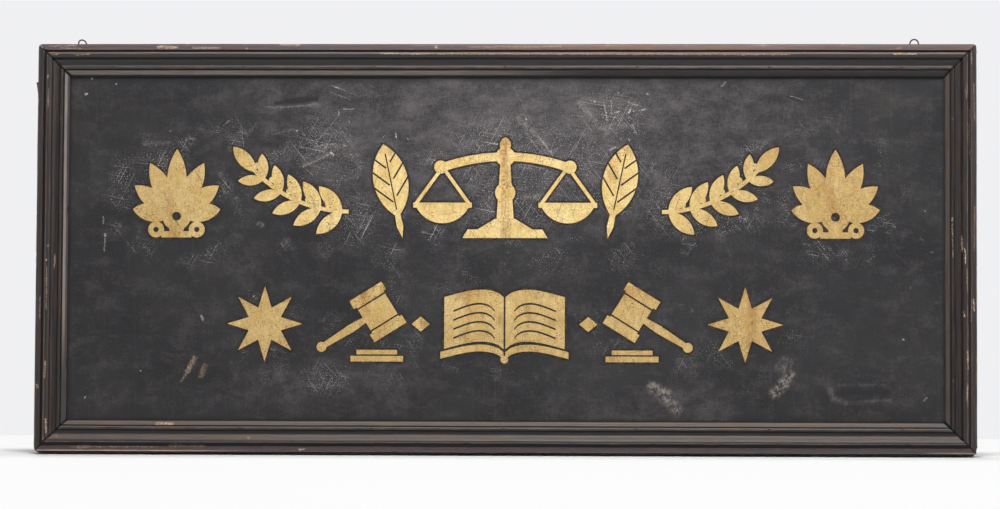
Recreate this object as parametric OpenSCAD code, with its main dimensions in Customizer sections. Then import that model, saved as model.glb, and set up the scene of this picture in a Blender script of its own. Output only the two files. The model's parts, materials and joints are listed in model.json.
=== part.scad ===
// Framed trade sign of painted sheet metal on a wooden strainer, with a mitred
// moulding, gilded ornament and two screw eyes to hang it by. Millimetres.
// +Z is up and the painted face looks along -Y. The origin is the middle of the
// strainer's bottom edge.

/* [Sign] */
// Width over the moulding
sign_w = 1524; // [1440:1:1800]
// Height over the moulding
sign_h = 664; // [640:1:760]

/* [Moulding] */
// Width of the flat outer band
band_w = 10; // [8:0.5:12]
// Height of the outer band above the sheet
band_h = 14; // [13:0.5:16]
// Radius of the band's outer arris
band_round = 2; // [1:0.5:3]
// Width of the groove inside the band
quirk_w = 4; // [3:0.5:6]
// Height of the groove's floor above the sheet
quirk_floor_h = 9.5; // [8.5:0.5:11]
// Height of the moulding's crest above the sheet
crest_h = 20; // [18:0.5:24]
// Radius of the crest
crest_r = 3; // [2:0.5:4]
// Width of the ogee that falls from the crest
ogee_w = 14; // [12:0.5:18]
// Width of the flat valley before the bead
valley_w = 4; // [3:0.5:6]
// Height of the valley above the sheet
valley_h = 10; // [9:0.5:11]
// Radius of the bead
bead_r = 3.5; // [3:0.25:4]
// Width of the fine groove inside the bead
groove_w = 1.5; // [1:0.25:2.5]
// Height of the bevel's upper edge above the sheet
bevel_top_h = 13; // [12:0.5:14]
// Width of the bevel down to the sight edge
bevel_w = 7.5; // [6:0.5:10]
// Height of the bevel's foot above the sheet
bevel_foot_h = 6; // [5:0.5:7]
// Width of the step at the sight edge
step_w = 2; // [1:0.5:3]
// Height of the step at the sight edge
step_h = 4; // [3:0.5:4.5]
// Depth of the relief channel along the back
channel_d = 1.6; // [1.3:0.1:2]
// Width of the relief channel along the back
channel_w = 14; // [10:1:16]
// Open joint left at each mitre
mitre_gap = 0.5; // [0.3:0.1:1]

/* [Strainer] */
// Width of the strainer's outer bars
bar_w = 60; // [57:1:70]
// Thickness of the strainer
bar_t = 22; // [20:1:28]
// Width of the two uprights
upright_w = 45; // [36:1:60]
// Length of an upright's lap on each rail
upright_lap_l = 45; // [36:1:50]
// Height of moulding that stands above the strainer's top
top_overhang = 5; // [3:0.5:7]
// Open joint left at each lap's shoulder
lap_gap = 0.3; // [0.2:0.1:0.6]

/* [Sheet] */
// Thickness of the sheet metal
sheet_t = 0.6; // [0.5:0.05:1]
// Distance of the sheet's edge inside the strainer's edge
sheet_margin = 1.5; // [1:0.5:3]

/* [Fasteners] */
// Clearance round each fastener
fit = 0.05; // [0.03:0.01:0.1]
// Length of a moulding nail
nail_l = 32; // [26:1:36]
// Shank radius of a moulding nail
nail_r = 0.9; // [0.7:0.05:1.1]
// Head radius of a moulding nail
nail_head_r = 1.5; // [1.3:0.05:1.8]
// Depth of a nail's head below the bead
nail_set = 0.6; // [0.4:0.1:1.2]
// Nails along each long rail
nails_long = 7; // [5:1:9]
// Nails along each short rail
nails_short = 3; // [2:1:4]
// Distance of the end nails from the corners
nail_end = 120; // [110:1:140]
// Length of a mitre nail
mitre_nail_l = 34; // [28:1:40]
// Distance of a mitre nail from the corner
mitre_nail_inset = 13; // [11:0.5:16]
// Length of a tack
tack_l = 12; // [10:1:14]
// Head radius of a tack
tack_head_r = 3.5; // [3:0.25:4]
// Thickness of a tack's head
tack_head_t = 0.9; // [0.7:0.05:1.1]
// Shank radius of a tack
tack_r = 0.9; // [0.7:0.05:1.1]
// Tacks along each long edge
tacks_long = 12; // [8:1:14]
// Tacks along each short edge
tacks_short = 4; // [3:1:5]
// Distance of the end tacks of a long edge from the corners
tack_end_long = 45; // [40:1:50]
// Distance of the end tacks of a short edge from the corners
tack_end_short = 95; // [90:1:105]
// Length of a lap screw
screw_l = 18; // [15:1:19]
// Shank radius of a lap screw
screw_r = 1.9; // [1.5:0.1:2.2]
// Head radius of a lap screw
screw_head_r = 4; // [3.5:0.1:4.5]
// Depth of a lap screw's countersunk head
screw_head_t = 2.4; // [2:0.1:3]
// Distance of a lap screw from the edges of its lap
screw_inset = 15; // [12:1:18]

/* [Screw eyes] */
// Distance of the left eye from the sign's left end
left_eye_inset = 70; // [67:1:102]
// Distance of the right eye from the sign's right end
right_eye_inset = 100; // [72:1:107]
// Radius to the middle of the ring's wire
ring_r = 6.85; // [6:0.05:8]
// Radius of the ring's wire
wire_r = 1.15; // [1:0.05:1.4]
// Angle of the ring that the wire fills
ring_turn = 325; // [300:1:335]
// Length of the shank in the wood
shank_l = 26; // [20:1:28]
// Radius of the thread's root
root_r = 1.15; // [1:0.05:1.3]
// Radius of the thread's crest
thread_r = 1.6; // [1.5:0.05:1.8]
// Distance between the thread's ridges
thread_pitch = 1.6; // [1.4:0.1:2]
// Height of a ring's foot above the wood
eye_foot = 0.4; // [0.3:0.1:1]
// Angle that the left eye is turned from the face
left_eye_turn = 30; // [0:1:45]
// Angle that the left ring is bent back
left_eye_lean = 18; // [0:1:40]
// Angle that the right eye is turned from the face
right_eye_turn = -8; // [-30:1:30]

/* [Bent nail] */
// Distance of the bent nail's hole below the strainer's top
bent_nail_drop = 82; // [78:1:110]
// Length of the nail that stands out of the wood
bent_nail_out = 26; // [18:1:30]
// Lean of the nail away from the wood
bent_nail_lean = 7; // [4:0.5:10]
// Radius of the bent nail
bent_nail_r = 1.3; // [1:0.1:1.6]
// Length of the bent nail in the wood
bent_nail_in = 20; // [12:1:24]

/* [Gilding] */
// Thickness of the black outline coat
outline_t = 0.2; // [0.1:0.05:0.4]
// Width of the black outline round each ornament
outline_w = 3; // [2:0.5:4]
// Thickness of the gold leaf and its size coat
leaf_t = 0.3; // [0.2:0.05:0.5]
// Height of the upper row's foot above the bottom edge
upper_z = 349; // [345:1:365]
// Height of the upper row's main ornament
upper_h = 164; // [150:1:170]
// Half width of the upper row
upper_half_w = 605; // [595:1:615]
// Height of the lower row's foot above the bottom edge
lower_z = 148; // [140:1:160]
// Height of the lower row's ornaments
lower_h = 122; // [110:1:130]
// Half width of the lower row
lower_half_w = 450; // [430:1:470]

/* [Hidden] */
$fn = 48;
eps = 0.01;

// Places across the moulding, counted inwards from its outer edge
crest_t = band_w + quirk_w + crest_r;
ogee_mid_t = crest_t + ogee_w / 2;
ogee_mid_h = (crest_h + valley_h) / 2;
// The ogee is two equal arcs, level at its ends
ogee_r = (pow(ogee_w, 2) + pow(crest_h - valley_h, 2)) / (4 * (crest_h - valley_h));
ogee_end_t = crest_t + ogee_w;
valley_end_t = ogee_end_t + valley_w;
bead_t = valley_end_t + bead_r;
bead_end_t = bead_t + bead_r;
groove_end_t = bead_end_t + groove_w;
bevel_end_t = groove_end_t + bevel_w;
moulding_w = bevel_end_t + step_w;
channel_t = band_w + quirk_w;
tack_t = channel_t + channel_w / 2;
nail_line_t = bead_t;

// Places through the sign's thickness
back_y = bar_t / 2;
sheet_back_y = -bar_t / 2;
sheet_front_y = sheet_back_y - sheet_t;
outline_front_y = sheet_front_y - outline_t;

strainer_h = sign_h - top_overhang;
half_w = sign_w / 2;
upright_x = sign_w / 6;
bent_nail_y = 5;
bent_nail_z = strainer_h - bent_nail_drop;
nail_top_h = valley_h + bead_r - nail_set;
nail_head_t = 0.8;
mitre_nail_r = 0.9;
mitre_nail_head_r = 1.8;
mitre_nail_head_t = 0.6;
// Heights above the sheet of the two nails that cross in each mitre
mitre_nail_low_h = 4.2;
mitre_nail_high_h = 7.4;
// Points of the fasteners
nail_point_l = 3;
nail_tip_r = 0.2;
tack_tip_r = 0.3;
screw_point_l = 5;
screw_tip_r = 0.3;
// How far a cut reaches past the face that it opens
over = 1;

paint_black = [0.16, 0.15, 0.16];
sheet_black = [0.22, 0.22, 0.23];
outline_black = [0.08, 0.08, 0.08];
gold = [0.86, 0.71, 0.42];
old_pine = [0.55, 0.42, 0.28];
iron = [0.30, 0.26, 0.24];

// Points and places

// Places spread evenly over a span, the ends included
function spread(n, span) = [for (i = [0:n - 1]) -span / 2 + span * i / (n - 1)];

// Turns a shape drawn on the XY plane to stand on XZ, its height towards the front
module stand() {
    rotate([90, 0, 0]) children();
}

// Keeps +X pointing inwards from either side
module inwards(side) {
    if (side < 0) children();
    else mirror([1, 0, 0]) children();
}

// Repeats what is drawn inwards from the lower left corner at all four corners
module in_four_corners(w, h) {
    for (side = [-1, 1])
        translate([side * w / 2, 0, 0]) inwards(side) {
            children();
            translate([0, 0, h]) mirror([0, 0, 1]) children();
        }
}

// Moulding

// A straight length of moulding along Z, with its section inwards from the outer edge along X
// and out from the sheet along Y
module moulding_run(length) {
    difference() {
        union() {
            run(length)
                polygon([[0, 0], [0, band_h - band_round], [band_round, band_h], [band_w, band_h],
                         [band_w, quirk_floor_h], [channel_t, quirk_floor_h], [channel_t, crest_h - crest_r],
                         [crest_t, crest_h], [ogee_mid_t, ogee_mid_h], [ogee_end_t, valley_h],
                         [groove_end_t, valley_h], [groove_end_t, bevel_top_h], [bevel_end_t, bevel_foot_h],
                         [bevel_end_t, step_h], [moulding_w, step_h], [moulding_w, 0]]);
            run(length) translate([band_round, band_h - band_round]) circle(r = band_round);
            run(length) translate([crest_t, crest_h - crest_r]) circle(r = crest_r);
            run(length) translate([bead_t, valley_h]) circle(r = bead_r);
            run(length)
                intersection() {
                    translate([crest_t, crest_h - ogee_r]) circle(r = ogee_r, $fn = 96);
                    translate([crest_t, valley_h]) square([ogee_w / 2, crest_h - valley_h]);
                }
        }
        run(length + 2 * over)
            intersection() {
                translate([ogee_end_t, valley_h + ogee_r]) circle(r = ogee_r, $fn = 96);
                translate([ogee_mid_t, valley_h]) square([ogee_w / 2, crest_h - valley_h]);
            }
        run(length + 2 * over) translate([channel_t, -over]) square([channel_w, over + channel_d]);
    }
}

module run(length) linear_extrude(height = length, center = true) children();

// A rail that lies along X with its outer edge at z = 0, cut to its two mitres
module mitred_rail(length) {
    cut = mitre_gap * sqrt(2) / 2;
    reach = moulding_w + over;
    translate([0, sheet_front_y, 0])
        intersection() {
            rotate(a = 180, v = [1, 0, 1]) moulding_run(length);
            stand()
                linear_extrude(height = crest_h + over)
                    polygon([[-length / 2 + cut, 0], [length / 2 - cut, 0],
                             [length / 2 - cut - reach, reach], [-length / 2 + cut + reach, reach]]);
        }
}

module at_top() translate([0, 0, sign_h]) mirror([0, 0, 1]) children();
module at_left() translate([-half_w, 0, sign_h / 2]) rotate([0, 90, 0]) children();
module at_right() mirror([1, 0, 0]) at_left() children();

module moulding_rail(length) {
    color(paint_black) mitred_rail(length);
}

module moulding_bottom() difference() {
    moulding_rail(sign_w);
    moulding_cuts();
}

module moulding_top() difference() {
    at_top() moulding_rail(sign_w);
    moulding_cuts();
}

module moulding_left() difference() {
    at_left() moulding_rail(sign_h);
    moulding_cuts();
}

module moulding_right() difference() {
    at_right() moulding_rail(sign_h);
    moulding_cuts();
}

module moulding_cuts() {
    at_nails() nail_hole();
    at_mitre_nails() mitre_nail_hole();
}

// Nails that hold the moulding, driven through the bead, the sheet and the strainer

module at_nails() {
    for (x = spread(nails_long, sign_w - 2 * nail_end))
        for (z = [nail_line_t, sign_h - nail_line_t])
            translate([x, sheet_front_y, z]) stand() children();
    for (z = spread(nails_short, sign_h - 2 * nail_end))
        for (side = [-1, 1])
            translate([side * (half_w - nail_line_t), sheet_front_y, sign_h / 2 + z]) stand() children();
}

module nail() {
    translate([0, 0, nail_top_h - nail_head_t]) cylinder(h = nail_head_t, r = nail_head_r);
    translate([0, 0, nail_top_h - nail_l + nail_point_l])
        cylinder(h = nail_l - nail_point_l - nail_head_t + eps, r = nail_r);
    translate([0, 0, nail_top_h - nail_l]) cylinder(h = nail_point_l + eps, r1 = nail_tip_r, r2 = nail_r);
}

module nail_hole() {
    translate([0, 0, nail_top_h - nail_head_t]) cylinder(h = crest_h, r = nail_head_r + fit);
    translate([0, 0, nail_top_h - nail_l - fit]) cylinder(h = nail_l, r = nail_r + fit);
}

module moulding_nails() {
    color(iron) at_nails() nail();
}

// Two nails through each mitre: one driven in from the long edge and one from the short edge

module at_mitre_nails() {
    in_four_corners(sign_w, sign_h) {
        translate([mitre_nail_inset, sheet_front_y - mitre_nail_low_h, 0]) children();
        translate([0, sheet_front_y - mitre_nail_high_h, mitre_nail_inset]) rotate([0, 90, 0]) children();
    }
}

module mitre_nail() {
    cylinder(h = mitre_nail_head_t, r = mitre_nail_head_r);
    cylinder(h = mitre_nail_l, r = mitre_nail_r);
}

module mitre_nail_hole() {
    translate([0, 0, -over]) cylinder(h = over + mitre_nail_head_t, r = mitre_nail_head_r + fit);
    cylinder(h = mitre_nail_l + fit, r = mitre_nail_r + fit);
}

module mitre_nails() {
    color(iron) at_mitre_nails() mitre_nail();
}

// Strainer

module bar(x, y, z, w, t, h) {
    color(old_pine) translate([x, y, z]) cube([w, t, h]);
}

// The back half of a rail, cut away where a stile or an upright laps over it
module rail_notch(x, w, z, h) {
    translate([x - w / 2 - lap_gap, 0, z]) cube([w + 2 * lap_gap, bar_t, h]);
}

module strainer_rail(z, lap_z) difference() {
    bar(-half_w, -bar_t / 2, z, sign_w, bar_t, bar_w);
    for (side = [-1, 1]) {
        rail_notch(side * (half_w - bar_w / 2), bar_w, z - over, bar_w + 2 * over);
        rail_notch(side * upright_x, upright_w, lap_z, upright_lap_l + lap_gap + over);
    }
    strainer_cuts();
}

module strainer_bottom_rail() strainer_rail(0, bar_w - upright_lap_l - lap_gap);

module strainer_top_rail() strainer_rail(strainer_h - bar_w, strainer_h - bar_w - over);

module strainer_stile(side) difference() {
    bar(side * (half_w - bar_w / 2) - bar_w / 2, -bar_t / 2, 0, bar_w, bar_t, strainer_h);
    for (z = [-over, strainer_h - bar_w - lap_gap])
        translate([side * (half_w - bar_w / 2) - bar_w, -bar_t, z])
            cube([2 * bar_w, bar_t, bar_w + lap_gap + over]);
    strainer_cuts();
    bent_nail_hole();
}

module strainer_left_stile() strainer_stile(-1);

module strainer_right_stile() strainer_stile(1);

module strainer_upright(side) difference() {
    low = bar_w - upright_lap_l;
    high = strainer_h - bar_w + upright_lap_l;
    bar(side * upright_x - upright_w / 2, -bar_t / 2, low, upright_w, bar_t, high - low);
    for (z = [low - over, strainer_h - bar_w - lap_gap])
        translate([side * upright_x - upright_w, -bar_t, z])
            cube([2 * upright_w, bar_t, upright_lap_l + lap_gap + over]);
    strainer_cuts();
}

module strainer_left_upright() strainer_upright(-1);

module strainer_right_upright() strainer_upright(1);

module strainer_cuts() {
    at_nails() nail_hole();
    at_tacks() tack_hole();
    at_lap_screws() lap_screw_hole();
    at_left_eye() eye_hole();
    at_right_eye() eye_hole();
}

// Screws that hold the laps, driven from the back

module at_lap_screws() {
    in_four_corners(sign_w, strainer_h)
        for (p = [[screw_inset, screw_inset], [bar_w - screw_inset, bar_w - screw_inset],
                  [screw_inset, bar_w - screw_inset]])
            translate([p[0], back_y, p[1]]) stand() children();
    for (x = [-upright_x, upright_x])
        for (z = [bar_w - upright_lap_l + screw_inset, bar_w - screw_inset / 2])
            for (place = [z, strainer_h - z])
                translate([x, back_y, place]) stand() children();
}

module lap_screw() {
    slot_w = 1;
    slot_d = 1.2;
    difference() {
        union() {
            cylinder(h = screw_head_t, r1 = screw_head_r, r2 = screw_r);
            cylinder(h = screw_l - screw_point_l, r = screw_r);
            translate([0, 0, screw_l - screw_point_l])
                cylinder(h = screw_point_l, r1 = screw_r, r2 = screw_tip_r);
        }
        translate([-screw_head_r, -slot_w / 2, -over]) cube([2 * screw_head_r, slot_w, over + slot_d]);
    }
}

module lap_screw_hole() {
    translate([0, 0, -fit])
        cylinder(h = screw_head_t + 2 * fit, r1 = screw_head_r + 2 * fit, r2 = screw_r + fit);
    cylinder(h = screw_l + fit, r = screw_r + fit);
}

module lap_screws() {
    color(iron) at_lap_screws() lap_screw();
}

// Sheet and the tacks round its edge

module face_sheet() difference() {
    color(sheet_black)
        translate([-half_w + sheet_margin, sheet_front_y, sheet_margin])
            cube([sign_w - 2 * sheet_margin, sheet_t, strainer_h - 2 * sheet_margin]);
    at_nails() nail_hole();
    at_tacks() tack_hole();
}

module at_tacks() {
    for (x = spread(tacks_long, sign_w - 2 * tack_end_long))
        for (z = [tack_t, sign_h - tack_t])
            translate([x, sheet_front_y, z]) stand() children();
    for (z = spread(tacks_short, sign_h - 2 * tack_end_short))
        for (side = [-1, 1])
            translate([side * (half_w - tack_t), sheet_front_y, sign_h / 2 + z]) stand() children();
}

module tack() {
    cylinder(h = tack_head_t, r = tack_head_r);
    translate([0, 0, -tack_l]) cylinder(h = tack_l + eps, r1 = tack_tip_r, r2 = tack_r);
}

module tack_hole() {
    translate([0, 0, -tack_l - fit]) cylinder(h = tack_l + over, r = tack_r + fit);
}

module sheet_tacks() {
    color(iron) at_tacks() tack();
}

// Screw eyes, each at the foot of its ring on the strainer's top edge

module at_left_eye()
    translate([-half_w + left_eye_inset, 0, strainer_h]) rotate([0, 0, left_eye_turn]) children();

module at_right_eye()
    translate([half_w - right_eye_inset, 0, strainer_h]) rotate([0, 0, right_eye_turn]) children();

module threaded_shank() {
    point_l = 4;
    neck_l = 4;
    ridges = floor((shank_l - point_l - neck_l) / thread_pitch);
    rotate_extrude()
        polygon(concat(
            [[0, -shank_l], [0, eye_foot + wire_r], [root_r, eye_foot + wire_r], [root_r, -neck_l]],
            [for (i = [1:ridges]) for (p = [[thread_r, i - 0.5], [root_r, i]])
                [p[0], -neck_l - p[1] * thread_pitch]]));
}

// The ring stands on the shank and is bent back about its own foot
module eye_ring(lean) {
    start = 14;
    translate([0, 0, eye_foot + wire_r])
        rotate([-lean, 0, 0])
            translate([0, 0, ring_r])
                rotate([90, 0, 0])
                    rotate([0, 0, -90 - start])
                        rotate_extrude(angle = ring_turn + start) translate([ring_r, 0]) circle(r = wire_r);
}

module screw_eye(lean) {
    color(iron) {
        threaded_shank();
        eye_ring(lean);
    }
}

module eye_hole() {
    translate([0, 0, -shank_l - fit]) cylinder(h = shank_l + over, r = thread_r + fit);
}

module screw_eye_left() at_left_eye() screw_eye(left_eye_lean);

module screw_eye_right() at_right_eye() screw_eye(0);

// Old fixing nail in the left edge, bent up against the wood

module bent_nail() {
    head_t = 1.2;
    knee_r = 1.08 * bent_nail_r;
    reach = knee_r + 0.4;
    color(iron)
        translate([-half_w - reach, bent_nail_y, bent_nail_z]) {
            sphere(r = knee_r);
            rotate([0, 90, 0]) cylinder(h = reach + bent_nail_in, r = bent_nail_r);
            rotate([0, -bent_nail_lean, 0]) {
                cylinder(h = bent_nail_out, r = bent_nail_r);
                translate([0, 0, bent_nail_out]) cylinder(h = head_t, r = 1.7 * bent_nail_r);
            }
        }
}

module bent_nail_hole() {
    translate([-half_w - over, bent_nail_y, bent_nail_z]) rotate([0, 90, 0])
        cylinder(h = bent_nail_in + over + fit, r = bent_nail_r + fit);
}

// Gilded ornament: flat outlines, each drawn from the foot of its row

// A pointed leaf from the origin up along Y, bounded by two equal arcs
module leaf(length, width) {
    r = (length * length + width * width) / (4 * width);
    intersection() {
        translate([r - width / 2, length / 2]) circle(r = r, $fn = 2 * $fn);
        translate([width / 2 - r, length / 2]) circle(r = r, $fn = 2 * $fn);
    }
}

// A straight bar between two points
module stroke(p, q, width) {
    d = q - p;
    translate(p) rotate(atan2(d[1], d[0])) translate([0, -width / 2]) square([norm(d), width]);
}

module both_sides() {
    children();
    mirror([1, 0]) children();
}

// Balance: a stepped foot, a tapered post, a bowed beam and two hanging pans
module balance_2d() {
    h = upper_h;
    beam_half = 0.64 * h;
    beam_r = 1.9 * h;
    beam_z = 0.85 * h;
    beam_t = 0.085 * h;
    pan_x = 0.62 * h;
    pan_z = 0.33 * h;
    pan_half = 0.27 * h;
    pan_r = 0.29 * h;
    pan_drop = sqrt(pan_r * pan_r - pan_half * pan_half);
    hook_z = beam_z - beam_r + sqrt(beam_r * beam_r - pan_x * pan_x) - beam_t / 2;
    polygon([[-0.42 * h, 0], [0.42 * h, 0], [0.37 * h, 0.085 * h], [-0.37 * h, 0.085 * h]]);
    polygon([[-0.28 * h, 0.08 * h], [0.28 * h, 0.08 * h], [0.1 * h, 0.19 * h], [-0.1 * h, 0.19 * h]]);
    polygon([[-0.085 * h, 0.18 * h], [0.085 * h, 0.18 * h], [0.045 * h, 0.8 * h], [-0.045 * h, 0.8 * h]]);
    translate([0, 0.45 * h]) circle(r = 0.1 * h);
    translate([0, beam_z - beam_t / 2]) circle(r = 0.095 * h);
    translate([0, beam_z]) leaf(h - beam_z, 0.11 * h);
    intersection() {
        translate([0, beam_z - beam_r])
            difference() {
                circle(r = beam_r, $fn = 3 * $fn);
                circle(r = beam_r - beam_t, $fn = 3 * $fn);
            }
        translate([-beam_half, 0]) square([2 * beam_half, h]);
    }
    both_sides() {
        translate([beam_half, hook_z]) circle(r = 0.065 * h);
        for (side = [-1, 1]) stroke([pan_x, hook_z], [pan_x + side * pan_half, pan_z], 0.034 * h);
        translate([pan_x - pan_half - 0.02 * h, pan_z - 0.03 * h])
            square([2 * pan_half + 0.04 * h, 0.05 * h]);
        intersection() {
            translate([pan_x, pan_z + pan_drop]) circle(r = pan_r);
            translate([pan_x - pan_half, 0]) square([2 * pan_half, pan_z - 0.01 * h]);
        }
    }
}

// Quill: a notched vane over a shaft cut to a nib, leaning outwards
module quill_2d() {
    h = 0.95 * upper_h;
    rotate(-12) {
        difference() {
            translate([0, 0.22 * h]) leaf(0.78 * h, 0.36 * h);
            translate([-0.007 * h, 0.1 * h]) square([0.014 * h, 0.8 * h]);
            for (notch = [0.38, 0.56, 0.74]) {
                translate([0.025 * h, notch * h]) rotate(48) square([0.3 * h, 0.018 * h]);
                translate([-0.025 * h, (notch + 0.07) * h]) rotate(132) square([0.3 * h, 0.018 * h]);
            }
        }
        polygon([[0, 0], [0.034 * h, 0.12 * h], [0.026 * h, 0.3 * h],
                 [-0.026 * h, 0.3 * h], [-0.034 * h, 0.12 * h]]);
    }
}

// Laurel: a bowed stem with paired leaves and berries, running outwards along X
module laurel_2d() {
    pairs = 5;
    length = 0.29 * upper_half_w;
    bow_r = 1.2 * length;
    stem_w = 0.04 * upper_h;
    leaf_l = 0.34 * upper_h;
    leaf_w = 0.4 * leaf_l;
    bow = length / bow_r * 180 / PI;
    intersection() {
        translate([0, bow_r])
            difference() {
                circle(r = bow_r + stem_w / 2, $fn = 3 * $fn);
                circle(r = bow_r - stem_w / 2, $fn = 3 * $fn);
            }
        polygon([[0, -stem_w], [bow_r * sin(bow), -stem_w],
                 [bow_r * sin(bow), bow_r * (1 - cos(bow)) + stem_w], [0, length]]);
    }
    for (i = [0:pairs - 1]) {
        a = bow * (i + 0.3) / pairs;
        shrink = 1 - 0.06 * i;
        translate([bow_r * sin(a), bow_r * (1 - cos(a))])
            rotate(a) {
                for (lean = [-46, -134]) rotate(lean) leaf(leaf_l * shrink, leaf_w * shrink);
                translate([0.42 * leaf_l, 0.17 * leaf_l]) circle(r = 0.09 * leaf_l);
            }
    }
    translate([bow_r * sin(bow), bow_r * (1 - cos(bow))]) rotate(bow - 90) translate([0, -stem_w])
        leaf(leaf_l, leaf_w);
}

// Palmette: seven leaves that fan out above a collar and two small scrolls
module palmette_2d() {
    h = 0.88 * upper_h;
    heart_z = 0.24 * h;
    start = 0.05 * h;
    difference() {
        union() {
            translate([0, heart_z + start]) leaf(h - heart_z - start, 0.22 * h);
            for (a = [27, 54, 81])
                both_sides()
                    translate([0, heart_z]) rotate(-a) translate([0, start])
                        leaf(h - heart_z - start - 0.0032 * h * a, 0.21 * h);
            translate([0, heart_z]) circle(r = 0.16 * h);
        }
        translate([0, heart_z]) circle(r = 0.05 * h);
    }
    both_sides() {
        translate([0.23 * h, 0.09 * h])
            difference() {
                circle(r = 0.09 * h);
                circle(r = 0.03 * h);
            }
        square([0.17 * h, 0.07 * h]);
    }
    polygon([[-0.07 * h, 0.05 * h], [0.07 * h, 0.05 * h], [0.1 * h, 0.16 * h], [-0.1 * h, 0.16 * h]]);
}

// A band that waves like an open page, between two heights
module page_band(x_in, x_out, low, high) {
    steps = 12;
    rise = 0.1 * lower_h;
    wave = [for (i = [0:steps]) [x_in + (x_out - x_in) * i / steps, rise * sin(180 * pow(i / steps, 0.7))]];
    polygon(concat([for (p = wave) [p[0], p[1] + low]],
                   [for (i = [steps:-1:0]) [wave[i][0], wave[i][1] + high]]));
}

// Book: two open pages with ruled lines over a cover board
module book_2d() {
    h = lower_h;
    page_w = 0.8 * h;
    both_sides() {
        difference() {
            page_band(0.012 * h, page_w, 0.17 * h, 0.86 * h);
            for (line = [0.3, 0.42, 0.54, 0.66])
                page_band(0.13 * h, 0.68 * h, line * h, (line + 0.025) * h);
        }
        page_band(0.012 * h, page_w + 0.05 * h, 0.04 * h, 0.13 * h);
    }
    translate([0, 0.03 * h]) circle(r = 0.05 * h);
}

// Gavel: a banded head on a turned handle, over its sounding block
module gavel_2d() {
    h = lower_h;
    translate([-0.16 * h, 0.66 * h])
        rotate(-32) {
            difference() {
                union() {
                    square([0.42 * h, 0.5 * h], center = true);
                    for (end = [-1, 1])
                        translate([0, end * 0.26 * h]) square([0.5 * h, 0.12 * h], center = true);
                }
                for (end = [-1, 1])
                    translate([0, end * 0.17 * h]) square([h, 0.022 * h], center = true);
            }
            polygon([[0.2 * h, -0.04 * h], [0.42 * h, -0.055 * h], [0.86 * h, -0.035 * h],
                     [0.86 * h, 0.035 * h], [0.42 * h, 0.055 * h], [0.2 * h, 0.04 * h]]);
            translate([0.88 * h, 0]) circle(r = 0.065 * h);
        }
    translate([-0.5 * h, 0]) square([0.7 * h, 0.075 * h]);
    translate([-0.42 * h, 0.095 * h]) square([0.54 * h, 0.06 * h]);
}

// Star of eight points
module star_2d() {
    points = 8;
    outer = 0.5 * lower_h;
    inner = 0.46 * outer;
    polygon([for (i = [0:2 * points - 1])
        let (r = i % 2 == 0 ? outer : inner, a = 180 * i / points) [r * sin(a), outer + r * cos(a)]]);
}

module lozenge_2d() {
    h = 0.2 * lower_h;
    polygon([[0, 0], [0.6 * h, h / 2], [0, h], [-0.6 * h, h / 2]]);
}

// Places of the ornaments across the two rows
quill_x = 0.275 * upper_half_w;
laurel_x = 0.42 * upper_half_w;
palmette_x = upper_half_w - 0.43 * upper_h;
gavel_x = 0.5 * lower_half_w;
star_x = lower_half_w - 0.5 * lower_h;
lozenge_x = (0.8 * lower_h + gavel_x - 0.5 * lower_h) / 2 + 0.04 * lower_h;

module balance_place() translate([0, upper_z]) children();
module quill_places() both_sides() translate([quill_x, upper_z]) children();
module laurel_places() both_sides() translate([laurel_x, upper_z + 0.26 * upper_h]) children();
module palmette_places() both_sides() translate([palmette_x, upper_z]) children();
module book_place() translate([0, lower_z]) children();
module gavel_places() both_sides() translate([gavel_x, lower_z]) children();
module star_places() both_sides() translate([star_x, lower_z]) children();
module lozenge_places() both_sides() translate([lozenge_x, lower_z + 0.4 * lower_h]) children();

module gilt_layer() {
    color(gold) translate([0, outline_front_y, 0]) stand() linear_extrude(height = leaf_t) children();
}

module gilt_balance() gilt_layer() balance_place() balance_2d();
module gilt_quills() gilt_layer() quill_places() quill_2d();
module gilt_laurels() gilt_layer() laurel_places() laurel_2d();
module gilt_palmettes() gilt_layer() palmette_places() palmette_2d();
module gilt_book() gilt_layer() book_place() book_2d();
module gilt_gavels() gilt_layer() gavel_places() gavel_2d();
module gilt_stars() gilt_layer() star_places() star_2d();
module gilt_lozenges() gilt_layer() lozenge_places() lozenge_2d();

module ornaments_2d() {
    balance_place() balance_2d();
    quill_places() quill_2d();
    laurel_places() laurel_2d();
    palmette_places() palmette_2d();
    book_place() book_2d();
    gavel_places() gavel_2d();
    star_places() star_2d();
    lozenge_places() lozenge_2d();
}

// The darker black that was cut in round the gold, and lies under it
module ornament_outline() {
    color(outline_black)
        translate([0, sheet_front_y, 0])
            stand()
                linear_extrude(height = outline_t)
                    offset(r = outline_w, $fn = 12) ornaments_2d($fn = 28);
}

strainer_bottom_rail();
strainer_top_rail();
strainer_left_stile();
strainer_right_stile();
strainer_left_upright();
strainer_right_upright();
lap_screws();
face_sheet();
sheet_tacks();
moulding_bottom();
moulding_top();
moulding_left();
moulding_right();
moulding_nails();
mitre_nails();
screw_eye_left();
screw_eye_right();
bent_nail();
ornament_outline();
gilt_balance();
gilt_quills();
gilt_laurels();
gilt_palmettes();
gilt_book();
gilt_gavels();
gilt_stars();
gilt_lozenges();
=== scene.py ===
"""Dresses a framed trade sign: a black painted sheet with gilded ornament, in a worn, mitred black moulding.

Lengths are in millimetres while a piece is on the bench, and its object is in metres. +X runs along the sign
to the reader's right, +Z is up, and the painted face looks along -Y.
"""
import sys

import json
import logging
import math
from dataclasses import dataclass
from enum import Enum
from typing import Callable, Iterable, Union

import bmesh
import bpy
from mathutils import Matrix, Vector, noise
from mathutils.bvhtree import BVHTree

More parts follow.
